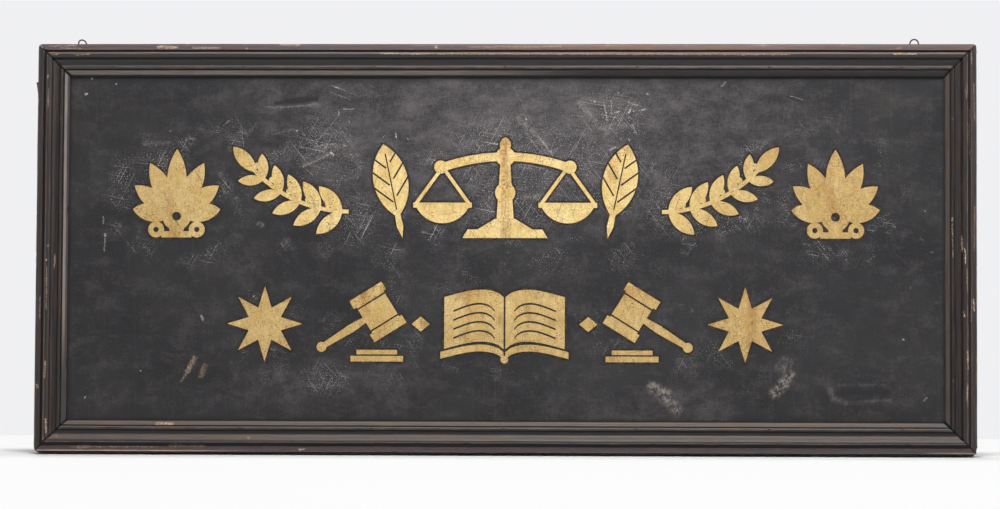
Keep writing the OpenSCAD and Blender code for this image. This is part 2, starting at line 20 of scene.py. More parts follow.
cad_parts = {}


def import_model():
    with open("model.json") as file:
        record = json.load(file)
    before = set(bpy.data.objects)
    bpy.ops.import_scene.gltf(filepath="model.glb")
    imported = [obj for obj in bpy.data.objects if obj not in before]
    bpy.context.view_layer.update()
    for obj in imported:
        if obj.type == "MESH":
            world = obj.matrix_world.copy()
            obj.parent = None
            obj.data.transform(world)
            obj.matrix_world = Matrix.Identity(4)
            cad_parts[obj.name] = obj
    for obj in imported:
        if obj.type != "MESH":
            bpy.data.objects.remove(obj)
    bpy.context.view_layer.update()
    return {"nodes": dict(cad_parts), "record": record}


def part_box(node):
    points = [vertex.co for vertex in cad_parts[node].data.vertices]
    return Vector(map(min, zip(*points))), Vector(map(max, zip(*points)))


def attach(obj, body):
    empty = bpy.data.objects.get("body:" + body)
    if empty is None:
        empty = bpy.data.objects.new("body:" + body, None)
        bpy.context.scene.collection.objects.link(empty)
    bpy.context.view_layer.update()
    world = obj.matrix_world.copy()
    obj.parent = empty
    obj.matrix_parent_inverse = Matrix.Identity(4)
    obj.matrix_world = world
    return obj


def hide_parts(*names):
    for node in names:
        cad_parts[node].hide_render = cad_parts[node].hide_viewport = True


MM = 0.001
SIGN_BODY = "sign"
LOG = logging.getLogger("sign")

Colour = tuple[float, float, float]
Value = Union[float, Colour, "Tap"]
# The middle of a soft oval on the face, x and z, and its half sizes
Oval = tuple[float, float, float, float]
# A scratch, chip or scuff as seen from the front: its ends, x and z of each, its width and its strength
Mark = tuple[float, float, float, float, float, float]


def paint(red: int, green: int, blue: int) -> Colour:
    """Turns a colour as it looks on a screen, 0 to 255, into the linear colour that a shader takes."""
    parts = [part / 255 for part in (red, green, blue)]
    return tuple(p / 12.92 if p <= 0.04045 else ((p + 0.055) / 1.055) ** 2.4 for p in parts)


def ease(value: float, start: float, end: float) -> float:
    """Rises smoothly from 0 at start to 1 at end, or falls where start is the larger."""
    share = min(1.0, max(0.0, (value - start) / (end - start)))
    return share * share * (3 - 2 * share)


def ripple(size: float, *place: float) -> float:
    """Smooth noise from about -1 to 1, with ripples of a size, at a place of up to three coordinates."""
    return noise.noise(Vector([*place, 0.0, 0.0][:3]) / size)


def spread(count: int, span: float) -> list[float]:
    """Places spread evenly over a span about 0, its ends included."""
    return [span * (i / (count - 1) - 0.5) for i in range(count)]


def stand(name: str, data: bpy.types.ID) -> bpy.types.Object:
    """Stands a mesh, a lamp or a camera in the scene.

    Args:
        name: The object's name.
        data: What it holds.

    Returns:
        The object, at the origin.
    """
    made = bpy.data.objects.new(name, data)
    bpy.context.scene.collection.objects.link(made)
    return made


class Slot(Enum):
    """The record's material slot names, which nothing here uses."""

    PINE = "old_pine"
    MOULDING = "painted_moulding"
    SHEET = "painted_sheet"
    IRON = "rusty_iron"
    WIRE = "eye_wire"


class Side(Enum):
    """The sign's four sides."""

    BOTTOM = "bottom"
    TOP = "top"
    LEFT = "left"
    RIGHT = "right"


# Shader work


def operator(operation: str, turned: bool = False) -> Callable[["Tap", Value], "Tap"]:
    """Makes an operator on a tap and a value.

    Args:
        operation: What its Math node does, or its Vector Math node where a side is a vector or a colour.
        turned: Whether the tap is the right side.

    Returns:
        The operator.
    """
    def work(tap: "Tap", other: Value) -> "Tap":
        """Adds the operator's node.

        Args:
            tap: The tap.
            other: The other side.

        Returns:
            The result.
        """
        sides = (other, tap) if turned else (tap, other)
        wide = any(isinstance(side, tuple) or isinstance(side, Tap) and side.socket.type != "VALUE"
                   for side in sides)
        if wide:
            sides = [side if isinstance(side, (Tap, tuple)) else (side,) * 3 for side in sides]
        kind = "ShaderNodeVectorMath" if wide else "ShaderNodeMath"
        return tap.recipe.make(kind, {"operation": operation}, dict(enumerate(sides)))

    return work


class Tap:
    """A socket of a node tree that Python arithmetic works on."""

    __add__ = __radd__ = operator("ADD")
    __sub__ = operator("SUBTRACT")
    __rsub__ = operator("SUBTRACT", turned=True)
    __mul__ = __rmul__ = operator("MULTIPLY")
    __pow__ = operator("POWER")
    larger = operator("MAXIMUM")
    smaller = operator("MINIMUM")

    def __init__(self, recipe: "Recipe", socket: bpy.types.NodeSocket) -> None:
        """Wraps a socket of a recipe's tree."""
        self.recipe = recipe
        self.socket = socket

    def size(self) -> "Tap":
        """The value without its sign."""
        return self.recipe.make("ShaderNodeMath", {"operation": "ABSOLUTE"}, {0: self})

    def length(self) -> "Tap":
        """The length of a vector."""
        return self.recipe.make("ShaderNodeVectorMath", {"operation": "LENGTH"}, {0: self}, 1)

    def dot(self, other: "Tap | Colour") -> "Tap":
        """The dot product of two vectors."""
        return self.recipe.make("ShaderNodeVectorMath", {"operation": "DOT_PRODUCT"}, {0: self, 1: other}, 1)

    def parts(self) -> tuple["Tap", "Tap", "Tap"]:
        """The three parts of a vector."""
        node = self.recipe.node("ShaderNodeSeparateXYZ", {}, {0: self})
        return tuple(Tap(self.recipe, output) for output in node.outputs)

    def ease(self, start: float, end: float, low: float = 0.0, high: float = 1.0) -> "Tap":
        """Rises smoothly from low where the value is start to high where it is end."""
        values = {0: self, 1: start, 2: end, 3: low, 4: high}
        return self.recipe.make("ShaderNodeMapRange", {"interpolation_type": "SMOOTHSTEP"}, values)


class Recipe:
    """The node tree of a material, or of the world, while it is put together."""

    def __init__(self, name: str, world: "bpy.types.World | None" = None) -> None:
        """Starts with an empty tree.

        Args:
            name: The new material's name.
            world: The world, where its tree is put together instead.
        """
        self.owner = world or bpy.data.materials.new(name)
        self.owner.use_nodes = True
        self.tree = self.owner.node_tree
        self.tree.nodes.clear()

    def node(self, kind: str, settings: dict, sockets: dict) -> bpy.types.Node:
        """Adds a node.

        Args:
            kind: The node's type.
            settings: The node's own settings.
            sockets: Values or taps for its inputs, by number or name.

        Returns:
            The node.
        """
        made = self.tree.nodes.new(kind)
        for name, value in settings.items():
            setattr(made, name, value)
        for key, value in sockets.items():
            socket = made.inputs[key]
            if isinstance(value, Tap):
                self.tree.links.new(value.socket, socket)
            else:
                socket.default_value = (*value, 1.0) if socket.type == "RGBA" else value
        return made

    def make(self, kind: str, settings: dict, sockets: dict, output: "int | str" = 0) -> Tap:
        """Adds a node and taps one of its outputs."""
        return Tap(self, self.node(kind, settings, sockets).outputs[output])

    def place(self) -> tuple[Tap, Tap, Tap]:
        """The place on the sign, in millimetres."""
        return (self.make("ShaderNodeTexCoord", {}, {}, "Object") * (1 / MM)).parts()

    def normal(self) -> tuple[Tap, Tap, Tap]:
        """The way that the surface faces."""
        return self.make("ShaderNodeNewGeometry", {}, {}, "Normal").parts()

    def attribute(self, name: str, output: str = "Fac") -> Tap:
        """A piece's own attribute: Fac taps a number, and Vector a vector."""
        return self.make("ShaderNodeAttribute", {"attribute_name": name}, {}, output)

    def vector(self, x: Value, y: Value, z: Value) -> Tap:
        """A vector of three values."""
        return self.make("ShaderNodeCombineXYZ", {}, {0: x, 1: y, 2: z})

    def cloud(
        self, place: Tap, size: "float | Colour", detail: float = 3.0, rough: float = 0.55, seed: float = 0.0,
        turn: float = 0.0, warp: float = 0.0,
    ) -> Tap:
        """Cloudy noise.

        Args:
            place: Where it is read, in millimetres.
            size: The clouds' size, or their size along each axis.
            detail: How many finer layers it has.
            rough: How strong the finer layers are.
            seed: Picks another pattern.
            turn: The angle that their axes are turned by on the face, in radians.
            warp: How far the clouds are stirred.

        Returns:
            A value about 0.5, from 0 to 1.
        """
        scaled = self.make("ShaderNodeMapping", {"vector_type": "TEXTURE"}, {
            "Vector": place, "Location": (seed * 211, seed * 97, seed * 163), "Rotation": (0.0, 0.0, turn),
            "Scale": size if isinstance(size, tuple) else (size,) * 3,
        })
        layers = {"Vector": scaled, "Scale": 1.0, "Detail": detail, "Roughness": rough, "Distortion": warp}
        return self.make("ShaderNodeTexNoise", {}, layers)

    def weave(self, flat: Tap, length: float, width: float, seed: float) -> Tap:
        """Fine strokes along and up the face, about 1."""
        lying = self.cloud(flat, (length, width, 1.0), 2.0, 0.5, seed)
        return lying + self.cloud(flat, (width, length, 1.0), 2.0, 0.5, seed + 1)

    def shake(self, flat: Tap, grain: float) -> Tap:
        """A vector that wanders about nothing, to stir a place by."""
        noisy = {"Vector": flat * grain, "Scale": 1.0, "Detail": 3.0}
        return self.make("ShaderNodeTexNoise", {}, noisy, "Color") - (0.5, 0.5, 0.5)

    def away(self, flat: Tap, oval: Oval) -> Tap:
        """The distance from an oval's middle, with 1 at its edge."""
        x, z, half_x, half_z = oval
        return ((flat - (x, z, 0.0)) * (1 / half_x, 1 / half_z, 0.0)).length()

    def strokes(self, flat: Tap, marks: Iterable[Mark], soft: float = 0.3, fade: float = 0.0) -> Tap:
        """Marks as one mask.

        Args:
            flat: The place as seen from the front, as a vector with no third part.
            marks: The marks to draw.
            soft: How far their edges fade, each way.
            fade: How far they fade besides, as a share of their half width.

        Returns:
            Each mark's strength on it, and 0 elsewhere.
        """
        mask: Value = 0.0
        for x, z, end_x, end_z, width, strength in marks:
            run = (end_x - x, end_z - z, 0.0)
            here = flat - (x, z, 0.0)
            share = (here.dot(run) * (1 / (run[0] ** 2 + run[1] ** 2))).larger(0.0).smaller(1.0)
            nearest = self.make("ShaderNodeVectorMath", {"operation": "SCALE"}, {0: run, 3: share})
            distance = self.make("ShaderNodeVectorMath", {"operation": "DISTANCE"}, {0: here, 1: nearest}, 1)
            reach = soft + width / 2 * fade
            mask = distance.ease(width / 2 + reach, width / 2 - reach, 0.0, strength).larger(mask)
        return mask

    def hairs(self, flat: Tap, turns: Iterable[float], seed: float, length: float, limits: tuple) -> Tap:
        """Long hairlines.

        Args:
            flat: The place on the face.
            turns: The angles that they run at, in radians.
            seed: Picks another pattern.
            length: Their length.
            limits: The noise that gives none and that gives all.

        Returns:
            1 on a hairline and 0 beside it.
        """
        mask: Value = 0.0
        for turn in turns:
            hair = self.cloud(flat, (length, 1.0, 1.0), 1.0, 0.4, seed + turn, turn)
            mask = hair.ease(*limits).larger(mask)
        return mask

    def mix(self, share: Value, first: Value, second: Value) -> Tap:
        """Mixes two colours, with a share of the second from 0 to 1."""
        return self.make("ShaderNodeMix", {"data_type": "RGBA"}, {0: share, 6: first, 7: second}, 2)

    def coats(self, colour: Value, *coats: tuple[Value, Value]) -> Tap:
        """Lays coats over a colour.

        Args:
            colour: What lies below.
            coats: How much of each coat shows, from 0 to 1, and its colour.

        Returns:
            What shows in the end.
        """
        for share, coat in coats:
            colour = self.mix(share, colour, coat)
        return colour

    def relief(self, height: Tap, depth: float) -> Tap:
        """A normal that follows a fine relief, where a height of 1 stands for a depth in millimetres."""
        return self.make("ShaderNodeBump", {}, {"Height": height, "Distance": depth * MM, "Strength": 1.0})

    def surface(self, **sockets: Value) -> bpy.types.Material:
        """Ends the recipe with one Principled surface, whose sockets are named with _ for a space."""
        named = {name.replace("_", " "): value for name, value in sockets.items()}
        return self.end(self.make("ShaderNodeBsdfPrincipled", {}, named))

    def end(self, shader: Tap, kind: str = "Material") -> "bpy.types.Material | bpy.types.World":
        """Leads a shader to the output of the material or the world."""
        self.node(f"ShaderNodeOutput{kind}", {}, {"Surface": shader})
        return self.owner


# Finishes


@dataclass(frozen=True)
class PanelPaint:
    """Worn satin black on the sheet, hazy, with specks and scratch marks, and rust on its bare back; with a
    painted sheen over its upper middle, a painted shadow under the top rail, and painted shade and highlights
    at its dent and pressed oval.
    """

    black: Colour = paint(44, 43, 45)
    deep: Colour = paint(31, 30, 33)
    # Haze on the paint, and the colour of the painted sheen
    haze_and_sheen: Colour = paint(98, 93, 94)
    warm: Colour = paint(66, 58, 52)
    pale: Colour = paint(206, 202, 198)
    chalk: Colour = paint(168, 158, 148)
    tan: Colour = paint(140, 116, 92)
    tin: Colour = paint(112, 106, 100)
    rust: Colour = paint(120, 72, 44)
    cut_black: Colour = paint(24, 23, 26)
    # Where the painted shadow under the top rail begins
    top_z: float = 611.0
    # Painted sheen: a broad oval of painted reflected light over the upper middle of the face, and how strong
    # it is
    glare: Oval = (30.0, 535.0, 640.0, 250.0)
    glare_strength: float = 0.34
    hair_turns: tuple[float, ...] = (1.1, -0.2, -0.9)
    scuffed: tuple[Oval, ...] = (
        (-622, 452, 34, 50), (176, 548, 90, 64), (-20, 510, 110, 66), (-300, 500, 80, 76), (10, 400, 130, 70),
        (270, 400, 70, 66), (-240, 380, 60, 66), (-290, 120, 60, 40), (60, 470, 230, 110),
        (-560, 470, 60, 40),
    )
    scratches_and_highlights: tuple[Mark, ...] = (
        (-271, 549, -310, 501, 0.8, 0.42), (-272, 556, -271, 549, 1.8, 0.6),
        (-283, 597, -271, 593, 1.3, 0.85), (-271, 593, -237, 579, 0.8, 0.35),
        (-286, 587, -253, 574, 0.8, 0.4), (-264, 559, -247, 559, 1.5, 0.5), (-255, 539, -254, 538, 2.0, 0.6),
        (-341, 524, -339, 523, 2.4, 0.6), (-311, 497, -276, 503, 1.4, 0.4), (-326, 466, -287, 484, 0.9, 0.5),
        (-284, 488, -280, 484, 3.0, 0.95), (-326, 462, -311, 450, 0.8, 0.4),
        (-262, 499, -260, 498, 1.9, 0.55), (-252, 485, -250, 484, 1.9, 0.55),
        (-179, 520, -177, 512, 2.2, 0.85), (-159, 511, -158, 510, 2.2, 0.7),
        (-430, 532, -426, 497, 0.9, 0.35), (-432, 449, -432, 437, 1.3, 0.5),
        # The marks from (-395, 562) to (-307, 567) are a painted highlight along the dent's lower edge
        (-380, 517, -343, 526, 0.9, 0.35), (-395, 562, -351, 562, 2.2, 0.12),
        (-351, 562, -307, 567, 1.6, 0.22), (106, 550, 126, 547, 0.9, 0.45), (160, 567, 165, 541, 2.0, 0.6),
        (171, 574, 172, 551, 1.1, 0.5), (143, 572, 145, 571, 2.4, 0.85), (182, 587, 184, 585, 2.0, 0.6),
        (229, 585, 231, 583, 2.2, 0.7), (198, 571, 214, 565, 1.4, 0.6), (177, 554, 184, 555, 2.2, 0.85),
        (203, 561, 200, 553, 2.2, 0.8), (222, 558, 227, 559, 2.3, 0.9), (205, 534, 213, 519, 1.3, 0.6),
        (200, 510, 201, 508, 1.9, 0.6), (203, 496, 204, 493, 1.9, 0.6), (187, 512, 188, 510, 1.9, 0.5),
        (170, 493, 178, 497, 3.0, 0.55), (165, 485, 166, 484, 2.0, 0.6), (6, 547, 57, 509, 0.9, 0.2),
        (13, 595, 57, 509, 0.9, 0.22), (57, 509, 78, 482, 1.6, 0.4), (33, 543, 34, 542, 2.4, 0.8),
        (357, 604, 350, 596, 3.0, 0.3), (460, 581, 481, 575, 1.4, 0.35), (-686, 583, -683, 583, 3.2, 0.95),
        (-676, 608, -674, 609, 2.0, 0.6), (-636, 599, -635, 600, 2.2, 0.4), (-547, 522, -545, 523, 2.2, 0.5),
        (-455, 535, -451, 539, 2.0, 0.55), (-591, 132, -590, 132, 2.2, 0.75), (-681, 88, -680, 89, 2.0, 0.8),
        (643, 186, 645, 186, 2.0, 0.8), (-492, 221, -490, 215, 4.0, 0.5), (677, 88, 681, 92, 3.0, 0.3),
        (-408, 254, -407, 253, 2.2, 0.85), (-654, 382, -654, 372, 2.4, 0.4), (-651, 354, -651, 352, 3.4, 0.6),
        (-651, 348, -652, 326, 1.8, 0.45), (630, 368, 631, 367, 3.0, 0.75), (678, 394, 679, 394, 2.2, 0.4),
        (671, 350, 675, 347, 2.0, 0.24), (689, 327, 692, 327, 2.0, 0.22), (655, 272, 656, 269, 2.0, 0.26),
    )
    chips: tuple[Mark, ...] = (
        (-503, 153, -514, 132, 7.5, 1.2), (-514, 131, -524, 115, 3.6, 0.9), (-486, 140, -492, 124, 8.0, 0.7),
        (-560, 478, -522, 436, 12.0, 0.3),
    )
    scuffs_and_highlights: tuple[Mark, ...] = (
        (240, 108, 262, 96, 15.0, 0.8), (258, 92, 278, 72, 15.0, 0.65), (438, 100, 450, 112, 14.0, 0.85),
        (450, 113, 462, 126, 14.0, 0.9), (448, 140, 456, 148, 16.0, 0.35), (-588, 502, -546, 503, 6.0, 0.32),
        # The mark from (-380, 559) to (-304, 565) is a painted highlight along the dent's lower edge
        (-399, 371, -396, 370, 7.0, 0.6), (-380, 559, -304, 565, 5.0, 0.22), (120, 568, 165, 520, 8.0, 0.4),
        (20, 545, 62, 505, 7.0, 0.5), (175, 470, 190, 500, 6.0, 0.4), (30, 415, 62, 418, 8.0, 0.35),
        (-300, 495, -262, 500, 6.0, 0.45), (-330, 466, -290, 484, 5.0, 0.4),
    )
    # Smears, and painted highlights along the rims of the pressed oval: the marks from (526, 103) to (622,
    # 88) and from (540, 112) to (616, 113)
    smears_and_highlights: tuple[Mark, ...] = (
        (-366, 130, -350, 92, 16.0, 0.3), (-270, 122, -235, 127, 14.0, 0.25), (250, 98, 330, 82, 34.0, 0.3),
        (526, 103, 532, 90, 8.0, 0.75), (532, 89, 552, 84, 6.0, 0.75), (552, 84, 622, 88, 4.0, 0.5),
        (540, 112, 616, 113, 3.0, 0.25), (-420, 110, -180, 100, 60.0, 0.16), (100, 70, 360, 70, 50.0, 0.12),
        (-12, 20, 520, 30, 60.0, 0.1), (-90, 330, -60, 200, 34.0, 0.14),
    )
    # Dark spots, and painted shade: inside the dent at (-374, 568) to (-322, 574), inside the pressed oval at
    # (545, 99) and under the scratch at (462, 577)
    dark_spots_and_shade: tuple[Mark, ...] = (
        (-374, 568, -308, 575, 7.0, 0.9), (-358, 570, -322, 574, 13.0, 0.9), (462, 577, 478, 572, 3.4, 0.8),
        (-395, 545, -300, 549, 10.0, 0.25), (-660, 512, -630, 508, 26.0, 0.35),
        (-690, 330, -688, 250, 14.0, 0.3), (545, 99, 618, 101, 9.0, 0.85), (-620, 560, -560, 552, 40.0, 0.3),
        (-560, 350, -520, 300, 60.0, 0.3), (560, 240, 610, 200, 70.0, 0.3),
    )

    def material(self) -> bpy.types.Material:
        """Makes the material.

        Returns:
            The material.
        """
        shop = Recipe("panel_paint")
        x, _, z = shop.place()
        flat = shop.vector(x, z, 0.0)
        shake = shop.shake(flat, 0.2)
        wavering = flat + shake * (4.0, 4.0, 0.0)
        cut_in = shop.attribute("cut_in")

        smudges = shop.cloud(flat, 150.0, 4.0, 0.6, 1.0)
        wiped = shop.cloud(flat, (46.0, 30.0, 1.0), 6.0, 0.74, 2.0, warp=0.3)
        grit = shop.cloud(flat, 2.0, 3.0, 0.75, 3.0)
        weave = shop.weave(flat, 15.0, 1.5, 16.0)
        drips = shop.cloud(flat, (3.4, 120.0, 1.0), 4.0, 0.6, 4.0)
        warmth = shop.cloud(flat, 60.0, 4.0, 0.7, 5.0).ease(0.52, 0.8)
        # Painted sheen: the face is lighter within the glare oval, laid on with the haze colour
        glare = shop.away(flat, self.glare).ease(1.0, 0.1)
        lit = glare * self.glare_strength
        worked = wiped.ease(0.36, 0.7) * 0.9 + (grit - 0.5) * 2.0 + (weave - 1.0) * 0.9
        # Painted shadow: a darker band with a wavy edge along the top of the face, under the top rail
        edge = shop.cloud(flat, (70.0, 14.0, 1.0), 3.0, 0.6, 6.0) * 22.0
        rail_shadow = (z - self.top_z + edge).ease(-3.0, 12.0) * 0.75
        # Dark spots, with painted shade in the dent, in the pressed oval and under a scratch
        sunk = shop.strokes(wavering, self.dark_spots_and_shade, 0.5, 0.6) * grit.ease(0.2, 0.6, 0.5, 1.1)
        # Smears, and painted highlights on the pressed oval's rims
        smeared_and_highlit = wiped.ease(0.36, 0.58, 0.2, 1.2) + (grit - 0.5) * 2.4
        smeared_and_highlit = shop.strokes(wavering, self.smears_and_highlights, 1.0, 0.9) * smeared_and_highlit

        near = shop.attribute("scuffed") * z.ease(280.0, 340.0, 0.5, 1.0)
        crowd = shop.cloud(flat, 48.0, 3.0, 0.6, 7.0).ease(0.5, 0.66) * near
        for oval in self.scuffed:
            crowd = crowd.larger(shop.away(flat, oval).ease(1.0, 0.1))
        fine = shop.cloud(flat, (1.6, 1.9, 1.0), 2.0, 0.6, 18.0, 0.5).ease(0.6, 0.68) * (0.05 + crowd)
        bold = shop.cloud(wavering, (2.0, 5.0, 1.0), 3.0, 0.6, 19.0).ease(0.66, 0.71) * (0.06 + crowd * 1.1)
        rubbed = shop.cloud(wavering, (6.0, 9.0, 1.0), 5.0, 0.75, 23.0).ease(0.4, 0.66, 0.0, 1.0)
        hairs = shop.hairs(flat + shake * (2.0, 2.0, 0.0), self.hair_turns, 8.0, 70.0, (0.69, 0.77))
        broken = shop.cloud(flat, 1.8, 2.0, 0.6, 13.0).ease(0.4, 0.6, 0.15, 1.0)
        # Scratches, and the painted highlight along the dent's lower edge
        scratch_and_highlight_mask = shop.strokes(wavering, self.scratches_and_highlights) * broken
        pale = (fine.larger(bold) * 0.85).larger(hairs * crowd * 0.62).larger(scratch_and_highlight_mask)
        streaky = shop.cloud(wavering, (2.2, 6.0, 1.0), 4.0, 0.7, 14.0).ease(0.36, 0.66)

        rusting = shop.cloud(flat, 55.0, 5.0, 0.65, 15.0).ease(0.46, 0.62)
        behind = shop.normal()[1].ease(0.2, 0.5)
        colour = shop.coats(
            self.deep,
            (smudges.ease(0.3, 0.7), self.black),
            (lit + (lit + 0.36) * worked - 0.1, self.haze_and_sheen),
            (drips.ease(0.54, 0.8) * 0.16, self.haze_and_sheen),
            (warmth * 0.35, self.warm),
            # Painted shadow under the top rail, and dark spots with painted shade
            (rail_shadow.larger(sunk), self.deep),
            (smeared_and_highlit, self.haze_and_sheen),
            (cut_in * 0.45, self.cut_black),
            # Scuffs, and the painted highlight along the dent's lower edge
            (shop.strokes(wavering, self.scuffs_and_highlights, 0.5, 0.9) * rubbed, self.chalk),
            (pale, self.pale),
            (shop.strokes(wavering, self.chips, 0.3, 0.5) * streaky,
             shop.mix(grit.ease(0.5, 0.62), self.tan, self.chalk)),
            (behind, shop.mix(rusting, self.tin, self.rust)),
        )
        rough = 0.46 + smudges * 0.12 - glare * 0.04 + behind * 0.2 + cut_in * 0.08 + pale * 0.1
        skin = wiped * 0.5 + grit * 0.2 + weave * 0.12 + drips * 0.3
        return shop.surface(Base_Color=colour, Roughness=rough, Normal=shop.relief(skin, 0.12),
                            Metallic=behind * (1 - rusting) * 0.6, Specular_IOR_Level=0.35)


@dataclass(frozen=True)
class MouldingPaint:
    """Old black on moulded wood: thin along the grain, rubbed on the arrises, chipped, and dusty on top, with
    painted sheen on its bevels, and painted shade on the top arris, in the hollows with dirt, and underneath.
    """

    half_width: float
    height: float
    bevel: tuple[float, float]
    band_width: float
    black: Colour = paint(25, 23, 24)
    cool: Colour = paint(36, 35, 40)
    brown: Colour = paint(64, 50, 43)
    vein: Colour = paint(14, 12, 12)
    rubbed: Colour = paint(112, 102, 97)
    slate: Colour = paint(127, 119, 113)
    wood: Colour = paint(178, 134, 98)
    fresh: Colour = paint(226, 204, 178)
    dust: Colour = paint(146, 134, 124)
    mauve: Colour = paint(118, 104, 108)
    russet: Colour = paint(136, 110, 100)
    dirt_and_shade_black: Colour = paint(18, 16, 17)
    cool_cast: Colour = (0.92, 0.98, 1.1)
    warm_cast: Colour = (1.16, 1.0, 0.82)
    chips: tuple[Mark, ...] = (
        (-566, 659, -536, 658, 4.2, 0.9), (-509, 658, -466, 657, 3.6, 0.5), (-366, 663, -335, 662, 3.2, 0.7),
        (-744, 660, -700, 661, 2.2, 0.5), (-725, 657, -690, 656, 1.8, 0.5), (-422, 657, -421, 656, 2.4, 0.8),
        (-743, 645, -730, 646, 1.4, 0.6), (-704, 645, -678, 646, 1.4, 0.6), (-203, 648, -140, 647, 2.2, 0.75),
        (-140, 647, 460, 646, 1.8, 0.5), (628, 647, 664, 647, 2.4, 0.9), (632, 657, 640, 657, 2.0, 0.7),
        (-113, 660, -112, 657, 3.4, 0.8), (-60, 659, 90, 660, 2.4, 0.35), (-746, 611, -745, 609, 3.6, 0.8),
        (-743, 145, -744, 119, 2.4, 0.6), (-757, 107, -756, 104, 3.4, 0.6), (-742, 52, -741, 31, 2.6, 0.8),
        (-726, 27, -724, 25, 2.6, 0.6), (-743, 590, -744, 560, 1.8, 0.4), (-561, 46, -537, 45.5, 4.4, 1.3),
        (-542, 10, -484, 10.5, 3.4, 0.7), (-540, 12, -520, 12, 3.0, 0.8), (-700, 8, -560, 8, 2.0, 0.4),
        (-413, 24, -411, 23, 3.0, 0.8), (-330, 5, -322, 5, 3.0, 0.8), (-689, 8, -674, 8.5, 6.0, 0.45),
        (746, 166, 747, 138, 2.4, 0.85), (746, 114, 745, 86, 2.4, 0.8), (753, 648, 754, 632, 2.2, 0.5),
        (751, 557, 749, 516, 2.0, 0.35), (750, 512, 751, 475, 1.8, 0.35), (757, 600, 758, 540, 1.6, 0.3),
        (744, 590, 745, 575, 1.8, 0.35), (758, 400, 757, 330, 1.6, 0.3), (745, 300, 746, 262, 1.6, 0.4),
        (753, 250, 752, 214, 1.8, 0.4), (737, 352, 738, 328, 2.0, 0.8), (742, 332, 743, 308, 2.2, 1.0),
        (756, 250, 757, 232, 2.2, 0.9), (722, 382, 722, 378, 2.4, 0.9), (722, 372, 723, 318, 1.4, 0.5),
        (740, 229, 741, 221, 2.2, 0.8), (-742, 334, -742, 333, 2.4, 0.9), (-744, 311, -744, 310, 2.6, 0.9),
        (-743, 300, -743, 230, 1.6, 0.45), (-754, 250, -754, 215, 1.8, 0.5), (-731, 320, -732, 298, 2.2, 0.6),
    )

    def material(self) -> bpy.types.Material:
        """Makes the material.

        Returns:
            The material.
        """
        shop = Recipe("moulding_paint")
        x, _, z = shop.place()
        rail = shop.attribute("rail", "Vector")
        across = rail.parts()[1]
        wear = shop.attribute("wear")
        band = shop.attribute("band")
        facing = shop.normal()[2]
        beside = self.half_width - x.size()
        top = (beside + z - self.height).ease(-0.3, 0.3) * z.ease(300.0, 360.0)
        bottom = (beside - z).ease(-0.3, 0.3) * z.ease(360.0, 300.0)
        upright = (1 - top) * (1 - bottom)
        right = x.ease(-1.0, 1.0) * upright
        left = upright - right

        grain = shop.cloud(rail, (80.0, 1.0, 1.0), 4.0, 0.6, 1.0)
        bands = shop.cloud(rail, (260.0, 3.2, 3.2), 3.0, 0.6, 2.0)
        blots = shop.cloud(rail, (34.0, 4.0, 4.0), 5.0, 0.68, 3.0)
        pores = shop.cloud(rail, (8.0, 0.8, 0.8), 3.0, 0.6, 4.0)
        veins = shop.cloud(rail, (130.0, 1.6, 1.6), 2.0, 0.5, 8.0)
        tints = shop.cloud(rail, (46.0, 3.6, 3.6), 4.0, 0.65, 11.0)

        faded = (0.3 + blots * 0.5 + grain * 0.4) * (top * 0.62 + bottom * 0.3 + 0.12) * band
        ruddy = top * (x.ease(-180.0, 120.0) - x.ease(380.0, 560.0) * 0.6)
        settled = facing.ease(0.1, 0.9) * (0.1 + blots * 0.4 + grain * 0.4)
        # Pale rub and painted sheen on the bevel: lighter on the top rail's left half and the left rail's
        # upper part, less on the right and bottom rails, and along the bottom rail's sight edge
        outer, inner = self.bevel
        bevel_rub_and_sheen = across.ease(outer - 0.4, outer + 0.6) * (across + left * 2.4).ease(inner, inner - 1.5)
        sight = (across - (inner - 1.4)).size().ease(1.8, 0.6) * bottom * 0.6
        bevel_sheen_zone = top * x.ease(160.0, -120.0) + left * z.ease(110.0, 260.0)
        bevel_rub_and_sheen = bevel_rub_and_sheen * (bevel_sheen_zone + right * 0.35 + bottom * 0.1 + sight)
        # Painted shade: the top rail's outer arris is darkened
        shaded_arris = across.ease(2.8, 1.2) * top
        rim = across.ease(self.band_width - 3.0, self.band_width - 1.2)
        rim = rim * across.ease(self.band_width + 0.4, self.band_width)
        thin = wear * (0.15 + blots * 0.8 + pores * 0.25) + grain * 0.25
        thin = (thin - 0.42 - upright * 0.08 - right * 0.16 - shaded_arris * 0.2).ease(0.0, 0.3)
        bared = wear * shop.cloud(rail, (26.0, 2.0, 2.0), 4.0, 0.7, 5.0) + pores * 0.14 + right * 0.03
        ends = x.ease(-380.0, -540.0) + x.ease(670.0, 700.0) * 0.6
        edge = (across - 2.0).size().ease(1.3, 0.4) * bottom * ends
        colour = shop.coats(
            self.black,
            (bands.ease(0.38, 0.62), self.cool),
            (grain.ease(0.42, 0.66) * (0.5 + upright * 0.46 - top * 0.28), self.brown),
            (blots.ease(0.48, 0.7) * (0.4 + upright * 0.34 - top * 0.2), self.brown),
            (veins.ease(0.54, 0.64) * (0.7 - top * 0.35), self.vein),
            (faded + ruddy * band * 0.25, shop.mix(ruddy, self.mauve, self.russet)),
            (settled, self.dust),
            (bevel_rub_and_sheen * (grain * 0.8 + blots * 0.9 - 0.05), self.slate),
            (shaded_arris * 0.6, self.black),
            (rim * (top * 0.8 + right * 0.4) * (blots + grain - 0.5), self.slate),
            (thin * 0.7, shop.mix(ruddy * 0.7, self.rubbed, self.russet)),
            (bared.ease(0.6, 0.7) * 0.7, self.wood),
            (edge * (blots * 1.2 + pores * 0.5 - 0.3), self.fresh),
        )
        flat = shop.vector(x, z, 0.0)
